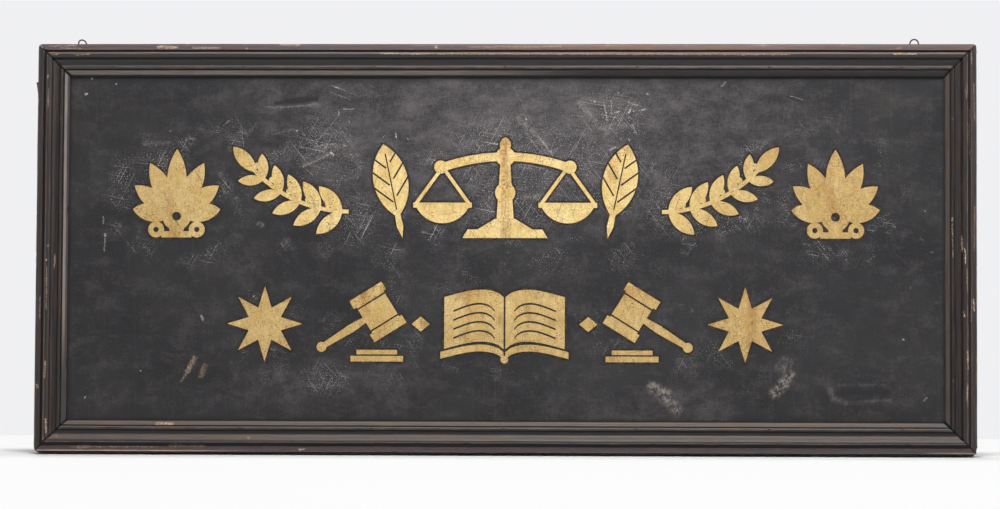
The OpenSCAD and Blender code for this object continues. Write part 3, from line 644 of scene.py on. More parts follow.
        nick = shop.cloud(rail, (13.0, 2.6, 2.6), 3.0, 0.6, 6.0).ease(0.76, 0.8)
        chipped = shop.strokes(flat + shop.shake(flat, 0.3) * (5.0, 3.6, 0.0), self.chips)
        chipped = chipped * shop.cloud(rail, (3.0, 1.0, 1.0), 3.0, 0.7, 7.0).ease(0.45, 0.53)
        # Dark open mitres, and dirt with painted shade in the hollows
        crack = (shop.attribute("mitre") + pores * 0.4 - across * 0.022).ease(2.0, 1.3)
        crack = crack * (across + bottom * 10.0).ease(4.0, 12.0, 0.4, 0.98)
        # Painted shade: the bottom rail's underside is darkened
        under = facing.ease(-0.4, -0.8) * bottom
        colour = shop.coats(
            colour * shop.mix(tints.ease(0.38, 0.62), self.cool_cast, self.warm_cast),
            (chipped.larger(nick * 0.6), shop.mix(pores.ease(0.42, 0.56), self.wood, self.fresh)),
            (crack.larger(shop.attribute("hollow") * 0.85).larger(under * 0.95), self.dirt_and_shade_black),
        )
        rough = under * 0.6 + 0.29 + settled * 0.25 + thin * 0.2 + chipped * 0.3 + pores * 0.1 + bands * 0.08
        skin = grain * 0.45 + pores * 0.35 + blots * 0.3 - veins * 0.3
        return shop.surface(Base_Color=colour, Roughness=rough, Normal=shop.relief(skin, 0.3))


@dataclass(frozen=True)
class GoldLeaf:
    """Old gold leaf, pale above and browner below, mottled, crazed and rubbed through in places, with painted
    shade away from its upper middle.
    """

    pale: Colour = paint(250, 224, 160)
    gold: Colour = paint(232, 198, 122)
    ochre: Colour = paint(198, 156, 84)
    brown: Colour = paint(104, 74, 42)
    drip: Colour = paint(168, 118, 62)
    dark: Colour = paint(44, 36, 30)
    grey: Colour = paint(176, 164, 150)
    shade: Colour = paint(172, 138, 84)
    # A pool of painted light on the gold: its middle and half sizes
    light: Oval = (-50.0, 440.0, 560.0, 260.0)
    rows: tuple[tuple[float, float], ...] = ((470.0, 512.0), (240.0, 270.0))
    row_z: float = 310.0
    craze_cell: float = 9.0
    craze_width: float = 0.4
    hair_turns: tuple[float, ...] = (0.15, 1.25, 2.2)
    stains: tuple[Mark, ...] = (
        (1, 500, 5, 352, 13.0, 0.85), (404, 262, 402, 152, 16.0, 0.8), (168, 470, 186, 440, 22.0, 0.6),
        (-330, 515, -322, 470, 18.0, 0.6), (520, 480, 536, 380, 16.0, 0.7), (-60, 262, -50, 220, 14.0, 0.5),
        (-226, 262, -220, 170, 12.0, 0.6), (-545, 420, -536, 352, 14.0, 0.6),
    )

    def material(self) -> bpy.types.Material:
        """Makes the material.

        Returns:
            The material.
        """
        shop = Recipe("aged_gold_leaf")
        x, _, z = shop.place()
        flat = shop.vector(x, z, 0.0)
        low = z.ease(self.row_z + 20, self.row_z - 20)
        crown: Value = 0.0
        for foot, head in self.rows:
            crown = (z.ease(foot, head) * z.ease(head + 3, head + 1)).larger(crown)

        clouds = shop.cloud(flat, 36.0, 4.0, 0.6, 1.0)
        mottle = shop.cloud(flat, 3.2, 4.0, 0.7, 9.0)
        flow = shop.cloud(flat, (2.6, 46.0, 1.0), 4.0, 0.65, 2.0)
        weave = shop.weave(flat, 9.0, 1.2, 17.0)
        stains = shop.cloud(flat, (14.0, 30.0, 1.0), 5.0, 0.6, 3.0) + crown * 0.06
        bright = shop.cloud(flat, (16.0, 60.0, 1.0), 4.0, 0.65, 21.0).ease(0.5, 0.7)
        # Painted shade: the gold darkens away from the pool of painted light, and a little towards the right
        far = shop.away(flat, self.light).ease(0.35, 1.0)
        dripped = shop.strokes(flat + mottle * (5.0, 0.0, 0.0), self.stains, 1.0, 0.8)
        dripped = dripped * (mottle.ease(0.4, 0.62, 0.3, 1.0) + (flow - 0.5) * 0.8)
        colour = shop.coats(
            self.gold,
            (clouds.ease(0.3, 0.7), self.pale),
            (far * 0.55 + x.ease(150.0, 450.0) * 0.1 + (weave - 1.0) * 0.9, self.shade),
            (mottle.ease(0.42, 0.7) * 0.3, self.ochre),
            (flow.ease(0.46, 0.72) * (0.26 + low * 0.24), self.ochre),
            (dripped + crown * 0.5 * flow.ease(0.36, 0.6, 0.4, 1.0), self.drip),
            (stains.ease(0.52, 0.74) * (0.32 + low * 0.12), self.brown),
            (bright * (0.36 - far * 0.1), self.pale),
        )
        colour = colour * (1 + (shop.cloud(flat, 1.5, 2.0, 0.6, 22.0) - 0.5) * 0.9)

        crowd = shop.cloud(flat, 28.0, 3.0, 0.6, 4.0).ease(0.5, 0.62)
        dots = shop.cloud(flat, 2.1, 2.0, 0.5, 12.0).ease(0.6, 0.66) * (0.14 + crowd * 0.86)
        spots = shop.cloud(flat, 3.4, 3.0, 0.6, 13.0).ease(0.67, 0.72) * (0.2 + crowd * 0.8)
        cells = (flat + mottle * (3.0, 3.0, 0.0)) * (1 / self.craze_cell) + (5.3, 2.9, 0.0)
        net = shop.make("ShaderNodeTexVoronoi", {"voronoi_dimensions": "2D", "feature": "DISTANCE_TO_EDGE"},
                        {"Vector": cells, "Scale": 1.0})
        crazed = net.ease(self.craze_width / self.craze_cell, 0.3 * self.craze_width / self.craze_cell)
        crazed = crazed * (shop.cloud(flat, 40.0, 3.0, 0.6, 5.0) + crown * 0.1).ease(0.56, 0.66)
        hairs = shop.hairs(flat + mottle * (1.5, 1.5, 0.0), self.hair_turns, 14.0, 60.0, (0.7, 0.77))
        marks = dots.larger(spots * 0.9).larger(crazed * 0.8).larger(hairs * 0.8)
        rubbed = (shop.cloud(flat, 13.0, 6.0, 0.74, 7.0) + low * 0.02).ease(0.7, 0.75)
        colour = shop.coats(
            colour,
            (shop.cloud(flat, 26.0, 5.0, 0.7, 11.0).ease(0.66, 0.74) * 0.5, self.grey),
            (marks, self.brown),
            (rubbed * 0.75, self.dark),
        )
        skin = clouds * 0.2 + flow * 0.3 + mottle * 0.3 + weave * 0.2
        rough = 0.44 + stains * 0.12 + marks * 0.2 + rubbed * 0.1
        metal = (1 - rubbed) * (1 - marks * 0.6) * 0.3
        normal = shop.relief(skin, 0.12)
        return shop.surface(Base_Color=colour, Roughness=rough, Metallic=metal, Normal=normal)


@dataclass(frozen=True)
class OutlinePaint:
    """The flat, deeper black that was cut in round the gold."""

    black: Colour = paint(30, 26, 26)
    brown: Colour = paint(76, 58, 44)

    def material(self) -> bpy.types.Material:
        """Makes the material.

        Returns:
            The material.
        """
        shop = Recipe("outline_paint")
        x, _, z = shop.place()
        flat = shop.vector(x, z, 0.0)
        worn = shop.cloud(flat, 8.0, 4.0, 0.65, 1.0)
        colour = shop.mix(worn.ease(0.42, 0.66), self.black, self.brown)
        normal = shop.relief(shop.cloud(flat, 2.0, 3.0, 0.6, 2.0), 0.08)
        rough = 0.5 + worn * 0.15
        return shop.surface(Base_Color=colour, Roughness=rough, Normal=normal, Specular_IOR_Level=0.3)


@dataclass(frozen=True)
class OldPine:
    """Aged pine, browned and dusty, with black paint on the sign's outer edges and painted shade on the
    bottom faces.
    """

    name: str
    upright: bool
    half_width: float
    height: float
    pale: Colour = paint(176, 140, 98)
    dark: Colour = paint(118, 84, 54)
    grey: Colour = paint(134, 120, 104)
    black: Colour = paint(44, 40, 40)
    pith_y: float = 46.0

    def material(self) -> bpy.types.Material:
        """Makes the material.

        Returns:
            The material.
        """
        shop = Recipe(self.name)
        x, y, z = shop.place()
        run, across = (z, x) if self.upright else (x, z)
        bent = shop.cloud(shop.vector(run * 0.06, across, y), 34.0, 3.0, 0.5, 1.0)
        pith = shop.vector(across + bent * 26.0, y + self.pith_y, run * 0.012).length()
        rings = shop.make("ShaderNodeMath", {"operation": "SINE"}, {0: pith * 1.45}) * 0.5 + 0.5
        fibres = shop.cloud(shop.vector(run * 0.02, across, y), 0.7, 3.0, 0.6, 2.0)
        stains = shop.cloud(shop.vector(run * 0.5, across, y), 60.0, 5.0, 0.65, 3.0)
        ragged = stains * 3.0 + shop.cloud(shop.vector(x, y, z), 5.0, 3.0, 0.6, 4.0) * 2.0
        margin = ((x.size() - self.half_width).larger(z * -1).larger(z - self.height) + ragged).ease(1.4, 1.9)
        # Painted shade: the bars' bottom faces are darkened
        under = z.ease(1.0, 0.0)
        colour = shop.coats(
            self.pale,
            (rings ** 3.0 * 0.75, self.dark),
            (fibres.ease(0.4, 0.75) * 0.35, self.dark),
            (stains.ease(0.45, 0.75) * 0.6, self.grey),
            (margin * 0.96, self.black),
            (under * 0.9, self.black),
        )
        normal = shop.relief(rings * 0.35 + fibres * 0.6 + stains * 0.2, 0.3)
        rough = 0.74 - margin * 0.25 + under * 0.4
        return shop.surface(Base_Color=colour, Roughness=rough, Normal=normal, Specular_IOR_Level=0.35)


@dataclass(frozen=True)
class AgedMetal:
    """Metal under rust or stain."""

    name: str
    clean: Colour
    stained: Colour
    spread: float
    grain: float
    shine: float
    roughness: float

    def material(self) -> bpy.types.Material:
        """Makes the material.

        Returns:
            The material.
        """
        shop = Recipe(self.name)
        place = shop.make("ShaderNodeTexCoord", {}, {}, "Object") * (1 / MM)
        crust = shop.cloud(place, self.grain, 5.0, 0.7, 1.0)
        fine = shop.cloud(place, self.grain / 6, 3.0, 0.6, 2.0)
        rusted = (crust + fine * 0.15).ease(self.spread, self.spread + 0.14)
        colour = shop.coats(self.clean, (rusted, self.stained), (fine.ease(0.55, 0.8) * 0.4, self.stained))
        normal = shop.relief(crust * 0.5 + fine * 0.5, 0.15)
        return shop.surface(Base_Color=colour, Metallic=(1 - rusted) * self.shine,
                            Roughness=self.roughness + rusted * 0.3, Normal=normal)


RUSTY_IRON = AgedMetal("rusty_iron", paint(44, 40, 40), paint(72, 50, 40), 0.44, 3.0, 0.4, 0.5)
NAIL_IRON = AgedMetal("nail_iron", paint(46, 44, 52), paint(72, 54, 48), 0.52, 4.0, 0.6, 0.42)
SCREW_STEEL = AgedMetal("screw_steel", paint(140, 134, 126), paint(104, 80, 60), 0.5, 3.0, 0.8, 0.35)
EYE_WIRE = AgedMetal("eye_wire", paint(72, 60, 59), paint(58, 42, 38), 0.5, 3.5, 0.7, 0.4)


# Bench work


class Bench:
    """A mesh in the making, in millimetres."""

    # Vertices that lie closer than this are one
    weld = 1e-4

    def __init__(self) -> None:
        """Clears the bench."""
        self.mesh = bmesh.new()

    def lift_off(self, name: str, material: bpy.types.Material) -> bpy.types.Object:
        """Turns the mesh into an object, in its own unit.

        Args:
            name: The object's name.
            material: Its finish.

        Returns:
            The object.
        """
        data = bpy.data.meshes.new(name)
        self.mesh.to_mesh(data)
        self.mesh.free()
        data.materials.append(material)
        return stand(name, data)

    def put_down(
        self, name: str, material: bpy.types.Material, body: str, replaced: str,
        crease: float = 35.0,
    ) -> None:
        """Turns the mesh into a piece of the sign, in metres, that rides on a body.

        Args:
            name: The piece's name.
            material: Its finish.
            body: The body that it rides on.
            replaced: The CAD node that it stands for.
            crease: Edges that turn more than this, in degrees, stay sharp.
        """
        for face in self.mesh.faces:
            face.smooth = True
        for edge in self.mesh.edges:
            edge.smooth = len(edge.link_faces) == 2 and edge.calc_face_angle() < math.radians(crease)
        self.mesh.transform(Matrix.Scale(MM, 4))
        piece = self.lift_off(name, material)
        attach(piece, body)
        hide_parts(replaced)
        LOG.info("%s: %d faces on %s", name, len(piece.data.polygons), body)

    def face_out(self) -> None:
        """Merges doubled vertices and points the faces outwards."""
        bmesh.ops.remove_doubles(self.mesh, verts=self.mesh.verts, dist=self.weld)
        bmesh.ops.recalc_face_normals(self.mesh, faces=self.mesh.faces)

    def cut(self, point: Vector, normal: Vector, keep_both: bool = True) -> None:
        """Cuts along a plane, and fills the end where the side past it is dropped.

        Args:
            point: A point of the plane.
            normal: Points at the side past the plane.
            keep_both: Whether the far side stays.
        """
        everything = [*self.mesh.verts, *self.mesh.edges, *self.mesh.faces]
        cut = bmesh.ops.bisect_plane(
            self.mesh, geom=everything, dist=self.weld, plane_co=point, plane_no=normal,
            clear_outer=not keep_both,
        )
        if not keep_both:
            edges = [item for item in cut["geom_cut"] if isinstance(item, bmesh.types.BMEdge)]
            bmesh.ops.holes_fill(self.mesh, edges=edges, sides=0)


class Pen:
    """Draws a closed section on the plane x = 0, with straight strokes and arcs."""

    def __init__(self, bench: Bench) -> None:
        """Sets the pen down at the section's first corner."""
        self.mesh = bench.mesh
        self.wear = self.mesh.verts.layers.float.new("wear")
        self.first = self.tip = self.mesh.verts.new((0.0, 0.0, 0.0))

    def line(self, *ends: tuple[float, ...]) -> None:
        """Draws straight strokes.

        Args:
            ends: The end of each, y and z, and how much it stands in the way of wear, from 0 to 1, if at all.
        """
        for y, z, *wear in ends:
            made = bmesh.ops.extrude_vert_indiv(self.mesh, verts=[self.tip])
            self.tip = made["verts"][0]
            self.tip.co = (0.0, y, z)
            self.tip[self.wear] = sum(wear)

    def arc(self, y: float, z: float, turn: float, steps: int, wear: float = 0.0) -> None:
        """Draws an arc.

        Args:
            y, z: Its centre.
            turn: How far it turns about +X, in degrees.
            steps: Its number of chords.
            wear: How much its middle stands in the way of wear, from 0 to 1.
        """
        known = set(self.mesh.verts)
        made = bmesh.ops.spin(
            self.mesh, geom=[self.tip], cent=(0.0, y, z), axis=(1.0, 0.0, 0.0), angle=math.radians(turn),
            steps=steps, use_duplicate=False,
        )
        for number, vert in enumerate(vert for vert in self.mesh.verts if vert not in known):
            vert[self.wear] = wear * math.sin(math.pi * (number + 1) / (steps + 1))
        self.tip = next(item for item in made["geom_last"] if isinstance(item, bmesh.types.BMVert))

    def close(self) -> bmesh.types.BMFace:
        """Closes the section and gives its face."""
        bmesh.ops.contextual_create(self.mesh, geom=[self.tip, self.first])
        return bmesh.ops.contextual_create(self.mesh, geom=self.mesh.edges[:])["faces"][0]


class Rod:
    """A round rod that grows from its end."""

    def __init__(self, bench: Bench, place: Vector, towards: Vector, radius: float) -> None:
        """Starts the rod.

        Args:
            bench: Where it grows.
            place: The middle of its first end.
            towards: The way that it grows.
            radius: Its radius.
        """
        self.mesh = bench.mesh
        made = bmesh.ops.create_circle(self.mesh, cap_ends=True, segments=16, radius=radius)
        turned = towards.to_track_quat("Z", "Y").to_matrix().to_4x4()
        bmesh.ops.transform(self.mesh, verts=made["verts"], matrix=Matrix.Translation(place) @ turned)
        self.end = made["verts"][0].link_faces[0]

    def grow(self, shift: Vector, scale: float = 1.0) -> None:
        """Grows a straight part.

        Args:
            shift: From this end to the next.
            scale: The next end's size against this one.
        """
        made = bmesh.ops.extrude_face_region(self.mesh, geom=[self.end])["geom"]
        self.end = next(item for item in made if isinstance(item, bmesh.types.BMFace))
        middle = self.end.calc_center_median()
        moved = Matrix.Translation(middle + shift) @ Matrix.Scale(scale, 4) @ Matrix.Translation(-middle)
        bmesh.ops.transform(self.mesh, verts=self.end.verts[:], matrix=moved)

    def bend(self, centre: Vector, axis: Vector, degrees: float, steps: int) -> None:
        """Grows a bent part.

        Args:
            centre: The bend's centre.
            axis: The line that it turns about.
            degrees: How far it turns.
            steps: Its number of chords.
        """
        made = bmesh.ops.spin(
            self.mesh, geom=[self.end, *self.end.edges, *self.end.verts], cent=centre, axis=axis,
            angle=math.radians(degrees), steps=steps, use_duplicate=False,
        )
        self.end = next(item for item in made["geom_last"] if isinstance(item, bmesh.types.BMFace))


# Sub-assemblies


# How far each outer corner is worn round, across and up, by whether it is on the right and at the top
WORN_CORNERS: dict[tuple[bool, bool], tuple[float, float]] = {
    (False, True): (8.0, 7.0),
    (True, True): (5.0, 7.0),
    (False, False): (4.5, 12.0),
    (True, False): (5.5, 22.0),
}

# How much dirt and painted shade each side holds in its quirk, beside its bead and at its sight edge
DIRT_AND_SHADE_BY_SIDE: dict[Side, tuple[float, float, float]] = {
    Side.TOP: (1.0, 0.8, 1.0),
    Side.BOTTOM: (0.6, 0.05, 1.0),
    Side.LEFT: (0.5, 0.5, 0.7),
    Side.RIGHT: (0.3, 0.3, 0.4),
}

GILDED = ("gilt_balance", "gilt_quills", "gilt_laurels", "gilt_palmettes",
          "gilt_book", "gilt_gavels", "gilt_stars", "gilt_lozenges")


@dataclass(frozen=True)
class SignSize:
    """The sizes that the pieces share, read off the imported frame."""

    half_width: float
    height: float
    sheet_y: float
    strainer_height: float

    @classmethod
    def measured(cls) -> "SignSize":
        """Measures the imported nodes."""
        edges = (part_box("moulding_bottom")[1].x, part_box("moulding_top")[1].z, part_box("face_sheet")[0].y,
                 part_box("strainer_top_rail")[1].z)
        return cls(*(edge / MM for edge in edges))


@dataclass
class MouldingFrame:
    """The four mitred lengths of moulding."""

    sign: SignSize
    band_width: float = 10.0
    band_height: float = 14.0
    arris: float = 2.0
    softened: float = 0.7
    quirk_width: float = 4.0
    quirk_floor: float = 9.5
    crest_height: float = 20.0
    crest_radius: float = 3.0
    ogee_width: float = 14.0
    valley_width: float = 4.0
    valley_height: float = 10.0
    bead_radius: float = 3.5
    groove_width: float = 1.5
    groove_paint: float = 0.05
    bottom_groove_paint: float = 1.4
    bevel_top: float = 13.0
    bevel_width: float = 7.5
    bevel_foot: float = 6.0
    step_width: float = 2.0
    step_height: float = 4.0
    channel_width: float = 14.0
    channel_depth: float = 1.6
    station: float = 4.0
    long_nails: int = 7
    short_nails: int = 3
    nail_end: float = 120.0
    nail_cuts: tuple[float, ...] = (-2.2, -1.4, -0.6, 0.6, 1.4, 2.2)
    nail_dent: float = 0.95
    rub_depth: float = 0.35
    nick_depth: float = 0.8
    mitre_wear: float = 0.55
    mitre_reach: float = 6.0
    seed_step: float = 911.0
    # Each rail's side, how far its ends stand back from the mitres at the outer corner and at the sight edge,
    # and the seed of its wear
    rails: tuple[tuple, ...] = (
        (Side.BOTTOM, (0.4, 0.4), (0.7, 0.8), 1.0),
        (Side.TOP, (0.5, 0.35), (1.15, 0.7), 2.0),
        (Side.LEFT, (0.4, 0.5), (0.7, 1.15), 3.0),
        (Side.RIGHT, (0.4, 0.35), (0.8, 0.7), 4.0),
    )

    def __post_init__(self) -> None:
        """Works out the places across the section."""
        self.channel_start = self.band_width + self.quirk_width
        self.crest = self.channel_start + self.crest_radius
        self.ogee_end = self.crest + self.ogee_width
        self.valley_end = self.ogee_end + self.valley_width
        self.bead = self.valley_end + self.bead_radius
        self.bead_end = self.bead + self.bead_radius
        self.groove_end = self.bead_end + self.groove_width
        self.bevel_end = self.groove_end + self.bevel_width
        self.width = self.bevel_end + self.step_width

    def draw_section(self, bench: Bench, filled: float) -> bmesh.types.BMFace:
        """Draws the moulding's section, with y across it from its outer edge and z out from the sheet.

        Args:
            bench: Where it is drawn.
            filled: How deep old paint lies in the groove beside the bead.

        Returns:
            The section's face.
        """
        soft, arris, band, start = self.softened, self.arris, self.band_height, self.channel_start
        fall = self.crest_height - self.valley_height
        bow = (self.ogee_width ** 2 + fall ** 2) / (4 * fall)
        half_turn = math.degrees(math.asin(self.ogee_width / 2 / bow))
        shoulder = self.crest_height - self.crest_radius
        channel_end = start + self.channel_width
        pen = Pen(bench)
        pen.line((0.0, 4.0), (0.0, 8.0), (0.0, band - arris, 0.5))
        pen.arc(arris, band - arris, -90.0, 5, 1.0)
        pen.line((self.band_width / 2, band, 0.15), (self.band_width - soft, band, 0.4))
        pen.arc(self.band_width - soft, band - soft, -90.0, 3, 0.75)
        pen.line((self.band_width, self.quirk_floor), (start, self.quirk_floor), (start, shoulder - 2.5))
        pen.line((start, shoulder, 0.5))
        pen.arc(self.crest, shoulder, -90.0, 6, 1.0)
        pen.arc(self.crest, self.crest_height - bow, -half_turn, 8)
        pen.arc(self.ogee_end, self.valley_height + bow, half_turn, 8)
        pen.line((self.valley_end, self.valley_height))
        pen.arc(self.bead, self.valley_height, -180.0, 12, 0.55)
        pen.line((self.bead_end, self.valley_height + filled), (self.groove_end, self.valley_height + filled))
        pen.line((self.groove_end, self.bevel_top - soft, 0.3))
        pen.arc(self.groove_end + soft, self.bevel_top - soft, -55.0, 3, 0.8)
        for share in (0.35, 0.7):
            rise = (self.bevel_foot - self.bevel_top) * share
            pen.line((self.groove_end + self.bevel_width * share, self.bevel_top + rise))
        pen.line((self.bevel_end, self.bevel_foot, 0.35), (self.bevel_end, self.step_height))
        pen.line((self.width, self.step_height, 0.3), (self.width, 0.0), (channel_end, 0.0))
        pen.line((channel_end, self.channel_depth), (start, self.channel_depth), (start, 0.0))
        return pen.close()

    def nails(self, side: Side) -> list[float]:
        """The places of a rail's nails along it, from its middle."""
        lying = side in (Side.BOTTOM, Side.TOP)
        return spread(*((self.long_nails, 2 * (self.sign.half_width - self.nail_end)) if lying else
                        (self.short_nails, self.sign.height - 2 * self.nail_end)))

    def seat(self, side: Side) -> Matrix:
        """Takes a rail from the bench to its side of the sign.

        Args:
            side: The side.

        Returns:
            The transform, in millimetres.
        """
        half, height = self.sign.half_width, self.sign.height
        along, across, start = {
            Side.BOTTOM: ((1, 0, 0), (0, 0, 1), (0, self.sign.sheet_y, 0)),
            Side.TOP: ((1, 0, 0), (0, 0, -1), (0, self.sign.sheet_y, height)),
            Side.LEFT: ((0, 0, 1), (1, 0, 0), (-half, self.sign.sheet_y, height / 2)),
            Side.RIGHT: ((0, 0, 1), (-1, 0, 0), (half, self.sign.sheet_y, height / 2)),
        }[side]
        return Matrix.Translation(start) @ Matrix((along, across, (0, -1, 0))).transposed().to_4x4()

    def build_rail(
        self, side: Side, gaps: tuple[float, float], inner_gaps: tuple[float, float], seed: float,
        material: bpy.types.Material,
    ) -> None:
        """Builds one rail: its section drawn out, mitred, worn and put in its place.

        Args:
            side: The side that it lies on.
            gaps: How far each end stands back from its mitre at the outer corner.
            inner_gaps: The same at the sight edge.
            seed: Picks the pattern of its wear.
            material: Its finish.
        """
        half = self.sign.half_width if side in (Side.BOTTOM, Side.TOP) else self.sign.height / 2
        bench = Bench()
        mesh = bench.mesh
        layers = mesh.verts.layers
        rail_layer = layers.float_vector.new("rail")
        band_layer, mitre_layer, dirt_shade_layer = map(layers.float.new, ("band", "mitre", "hollow"))
        filled = self.bottom_groove_paint if side is Side.BOTTOM else self.groove_paint
        drawn = bmesh.ops.extrude_face_region(mesh, geom=[self.draw_section(bench, filled)])["geom"]
        far = [item for item in drawn if isinstance(item, bmesh.types.BMVert)]
        bmesh.ops.translate(mesh, verts=mesh.verts, vec=(-half, 0.0, 0.0))
        bmesh.ops.translate(mesh, verts=far, vec=(2 * half, 0.0, 0.0))
        lengthwise = [edge for edge in mesh.edges if abs(edge.verts[0].co.x - edge.verts[1].co.x) > half]
        bmesh.ops.subdivide_edges(mesh, edges=lengthwise, cuts=int(2 * half / self.station))
        for end, gap, inner_gap in zip((-1, 1), gaps, inner_gaps):
            tip = Vector((end * (half - gap), 0.0, 0.0))
            run = Vector((end * (half - inner_gap - self.width), self.width, 0.0)) - tip
            bench.cut(tip, Vector((end * run.y, -end * run.x, 0.0)), keep_both=False)
        for nail in self.nails(side):
            for step in self.nail_cuts:
                bench.cut(Vector((nail + step, 0, 0)), Vector((1, 0, 0)))
        bench.face_out()
        mesh.normal_update()
        wear = layers.float["wear"]
        shifts = {}
        for vert in mesh.verts:
            along, across, out = vert.co
            short = half - across - abs(along)
            vert[rail_layer] = (along + seed * self.seed_step, across, out)
            vert[band_layer] = (ease(across, self.band_width + 1, self.band_width - 1)
                                + 0.45 * ease(abs(across - self.crest + 1.5), 3.5, 1.5))
            vert[mitre_layer] = short * math.sqrt(0.5)
            vert[dirt_shade_layer] = self.dirt_and_shade_at(side, along, across, out)
            near_mitre = ease(short, self.mitre_reach, 0.5)
            vert[wear] = min(1.0, vert[wear] + self.mitre_wear * near_mitre * (vert[wear] + 0.35))
            shifts[vert] = self.worn(vert, vert[wear], seed, self.nails(side))
        for vert, shift in shifts.items():
            vert.co += shift
        bmesh.ops.transform(mesh, verts=mesh.verts, matrix=self.seat(side))
        self.round_corners(mesh)
        bmesh.ops.recalc_face_normals(mesh, faces=mesh.faces)
        node = f"moulding_{side.value}"
        bench.put_down(f"worn_{node}", material, SIGN_BODY, node)

    def worn(self, vert: bmesh.types.BMVert, wear: float, seed: float, nails: list[float]) -> Vector:
        """How far age has moved a place on a rail.

        Args:
            vert: The place.
            wear: How much it stands in the way of wear.
            seed: Picks the pattern.
            nails: The nails' places along the rail.

        Returns:
            The shift.
        """
        along, across, out = vert.co
        lift = min(1.0, out / self.crest_height)
        rub = 0.25 + 0.75 * ease(ripple(38.0, along, seed * 50), -0.2, 0.6)
        nick = ease(ripple(9.0, along, across * 0.6, seed * 77), 0.42, 0.62)
        shift = vert.normal * (-wear * (self.rub_depth * rub + self.nick_depth * nick))
        sway, wobble = ripple(120.0, along, seed * 31), ripple(17.0, along, out, seed)
        swell, dimple = ripple(90.0, along, across, seed * 13), ripple(14.0, along, across, seed)
        shift.y += 0.35 * sway * lift + 0.12 * wobble * lift
        shift.z += (0.25 * swell + 0.1 * dimple) * lift
        shift.x = 0.0
        for nail in nails:
            away = math.hypot(along - nail, across - self.bead)
            if away < 2.4 and out > self.valley_height + 1:
                shift.z -= self.nail_dent * ease(away, 2.2, 1.1)
        return shift

    def dirt_and_shade_at(self, side: Side, along: float, across: float, out: float) -> float:
        """How much dirt and painted shade lie at a place: in the quirk, beside the bead and at the sight
        edge.

        Args:
            side: The rail's side.
            along, across, out: The place.

        Returns:
            A share from 0 to 1.
        """
        quirk = ease(abs(across - self.band_width - self.quirk_width / 2), 2.6, 1.7) * ease(out, 13.5, 11.0)
        groove = ease(abs(across - self.bead_end - self.groove_width / 2), 1.7, 0.8) * ease(out, 12.5, 11.0)
        valley = 0.5 * ease(abs(across - self.valley_end), 2.0, 0.3) * ease(out, 11.5, 10.2)
        foot = ease(across, self.bevel_end - 0.5, self.bevel_end + 0.3)
        away = min(math.hypot(along - nail, across - self.bead) for nail in self.nails(side))
        nail = ease(away, 2.6, 1.6) * ease(out, self.valley_height, self.valley_height + 1)
        in_quirk, by_bead, at_sight = DIRT_AND_SHADE_BY_SIDE[side]
        return max(quirk * in_quirk, max(groove, valley) * by_bead, foot * at_sight, nail)

    def round_corners(self, mesh: bmesh.types.BMesh) -> None:
        """Wears the sign's outer corners round.

        Args:
            mesh: A rail in its place.
        """
        half, height = self.sign.half_width, self.sign.height
        for vert in mesh.verts:
            right, top = vert.co.x > 0, vert.co.z > height / 2
            reach_x, reach_z = WORN_CORNERS[right, top]
            inset = Vector((half - abs(vert.co.x), height - vert.co.z if top else vert.co.z))
            spoke = Vector((1 - inset.x / reach_x, 1 - inset.y / reach_z))
            if spoke.x > 0 and spoke.y > 0 and spoke.length > 1:
                place = Vector((1, 1)) - spoke.normalized()
                vert.co.x = (half - place.x * reach_x) * (1 if right else -1)
                vert.co.z = height - place.y * reach_z if top else place.y * reach_z

    def build(self) -> None:
        """Builds and dresses the four rails."""
        bevel = (self.groove_end, self.bevel_end)
        material = MouldingPaint(self.sign.half_width, self.sign.height, bevel, self.band_width).material()
        for rail in self.rails:
            self.build_rail(*rail, material)


